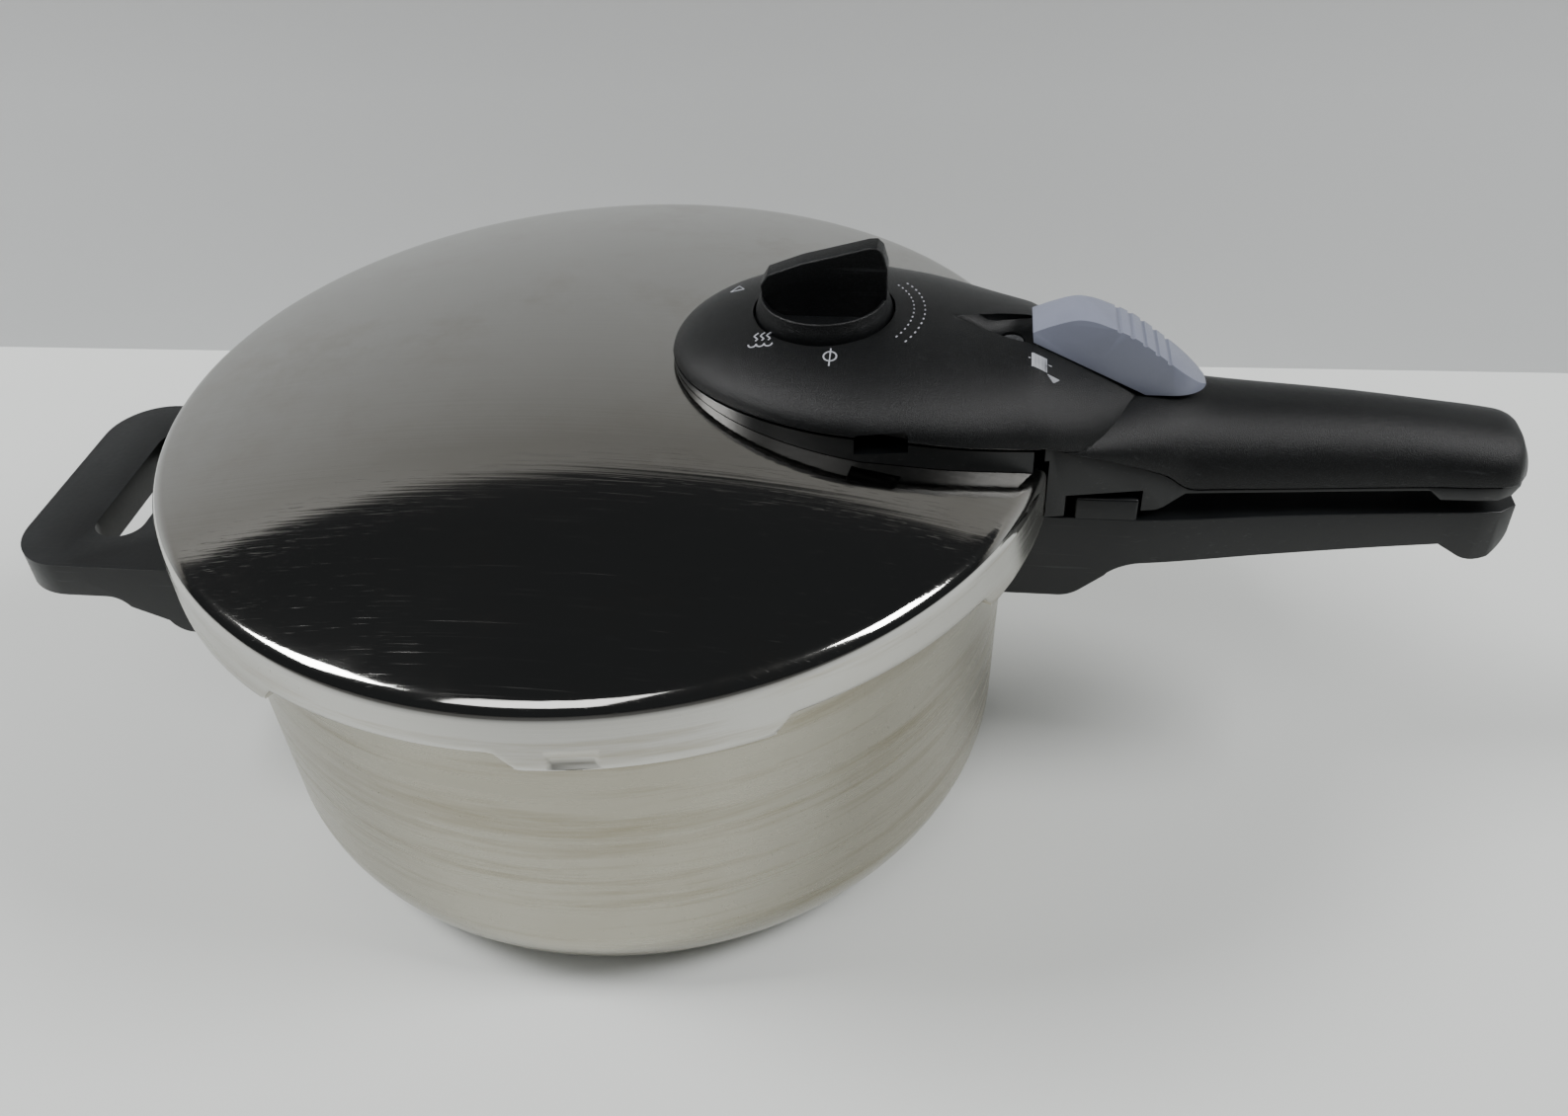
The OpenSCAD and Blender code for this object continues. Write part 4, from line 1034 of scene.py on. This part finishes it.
floor = planeOf("floor", 5, 5, (0, 0, 0), Matrix())
# painted shade: the pale floor darkens towards the camera side, in front of the stretch under the cooker
floorShadedPaint = shadeFadePaint("floorShadedPaint", "Y", (0.09, 0.09, 0.088, 1), (0.63, 0.645, 0.63, 1), -0.4, -0.19)
floor.data.materials.append(floorShadedPaint)
wallTilt = Matrix.Rotation(radians(1), 4, "Z") @ Matrix.Rotation(radians(90), 4, "X")
wall = planeOf("wall", 5, 0.46, (0, 0.217, 0.23), wallTilt)
# painted shade: the wall darkens towards the top
wallShadedPaint = shadeFadePaint("wallShadedPaint", "Z", (0.56, 0.57, 0.575, 1), (0.2, 0.195, 0.185, 1), 0.12, 0.4)
wall.data.materials.append(oneSided(wallShadedPaint))

world = bpy.data.worlds.new("room")
bpy.context.scene.world = world
world.use_nodes = True
world.node_tree.nodes["Background"].inputs["Color"].default_value = (0.9, 0.95, 1.0, 1)
world.node_tree.nodes["Background"].inputs["Strength"].default_value = 0.03


def softLight(name, place, aim, size, watts):
    data = bpy.data.lights.new(name, "AREA")
    data.shape = "RECTANGLE"
    data.size = size
    data.size_y = size
    data.energy = watts
    lamp = bpy.data.objects.new(name, data)
    lamp.location = place
    lamp.rotation_euler = (Vector(aim) - Vector(place)).to_track_quat("-Z", "Y").to_euler()
    bpy.context.scene.collection.objects.link(lamp)
    return lamp


softLight("keyLight", (-1.0, -0.15, 1.15), (0, 0.05, 0.05), 0.5, 24)
softLight("sideLight", (1.0, -0.12, 1.0), (0, 0.05, 0.05), 0.45, 17)
softLight("fillLight", (-0.2, -0.85, 1.25), (0.05, 0, 0.05), 0.8, 6)

view = {"lens": 33.35, "azimuth": 8.56, "elevation": 39.06, "roll": -3.01,
        "target": (52.03, -41.16, 100.0), "distance": 370.63}
az, el, roll = radians(view["azimuth"]), radians(view["elevation"]), radians(view["roll"])
back = Vector((sin(az) * cos(el), -cos(az) * cos(el), sin(el)))
right = (-back).cross(Vector((0, 0, 1))).normalized()
up = right.cross(-back)
camX = cos(roll) * right + sin(roll) * up
camY = cos(roll) * up - sin(roll) * right
lensData = bpy.data.cameras.new("camera")
lensData.lens = view["lens"]
lensData.sensor_width = 36
lensData.clip_start = 0.01
camera = bpy.data.objects.new("camera", lensData)
place = Matrix.Translation((Vector(view["target"]) + view["distance"] * back) * mm)
camera.matrix_world = place @ Matrix((camX, camY, back)).transposed().to_4x4()
bpy.context.scene.collection.objects.link(camera)
bpy.context.scene.camera = camera

print("finish")
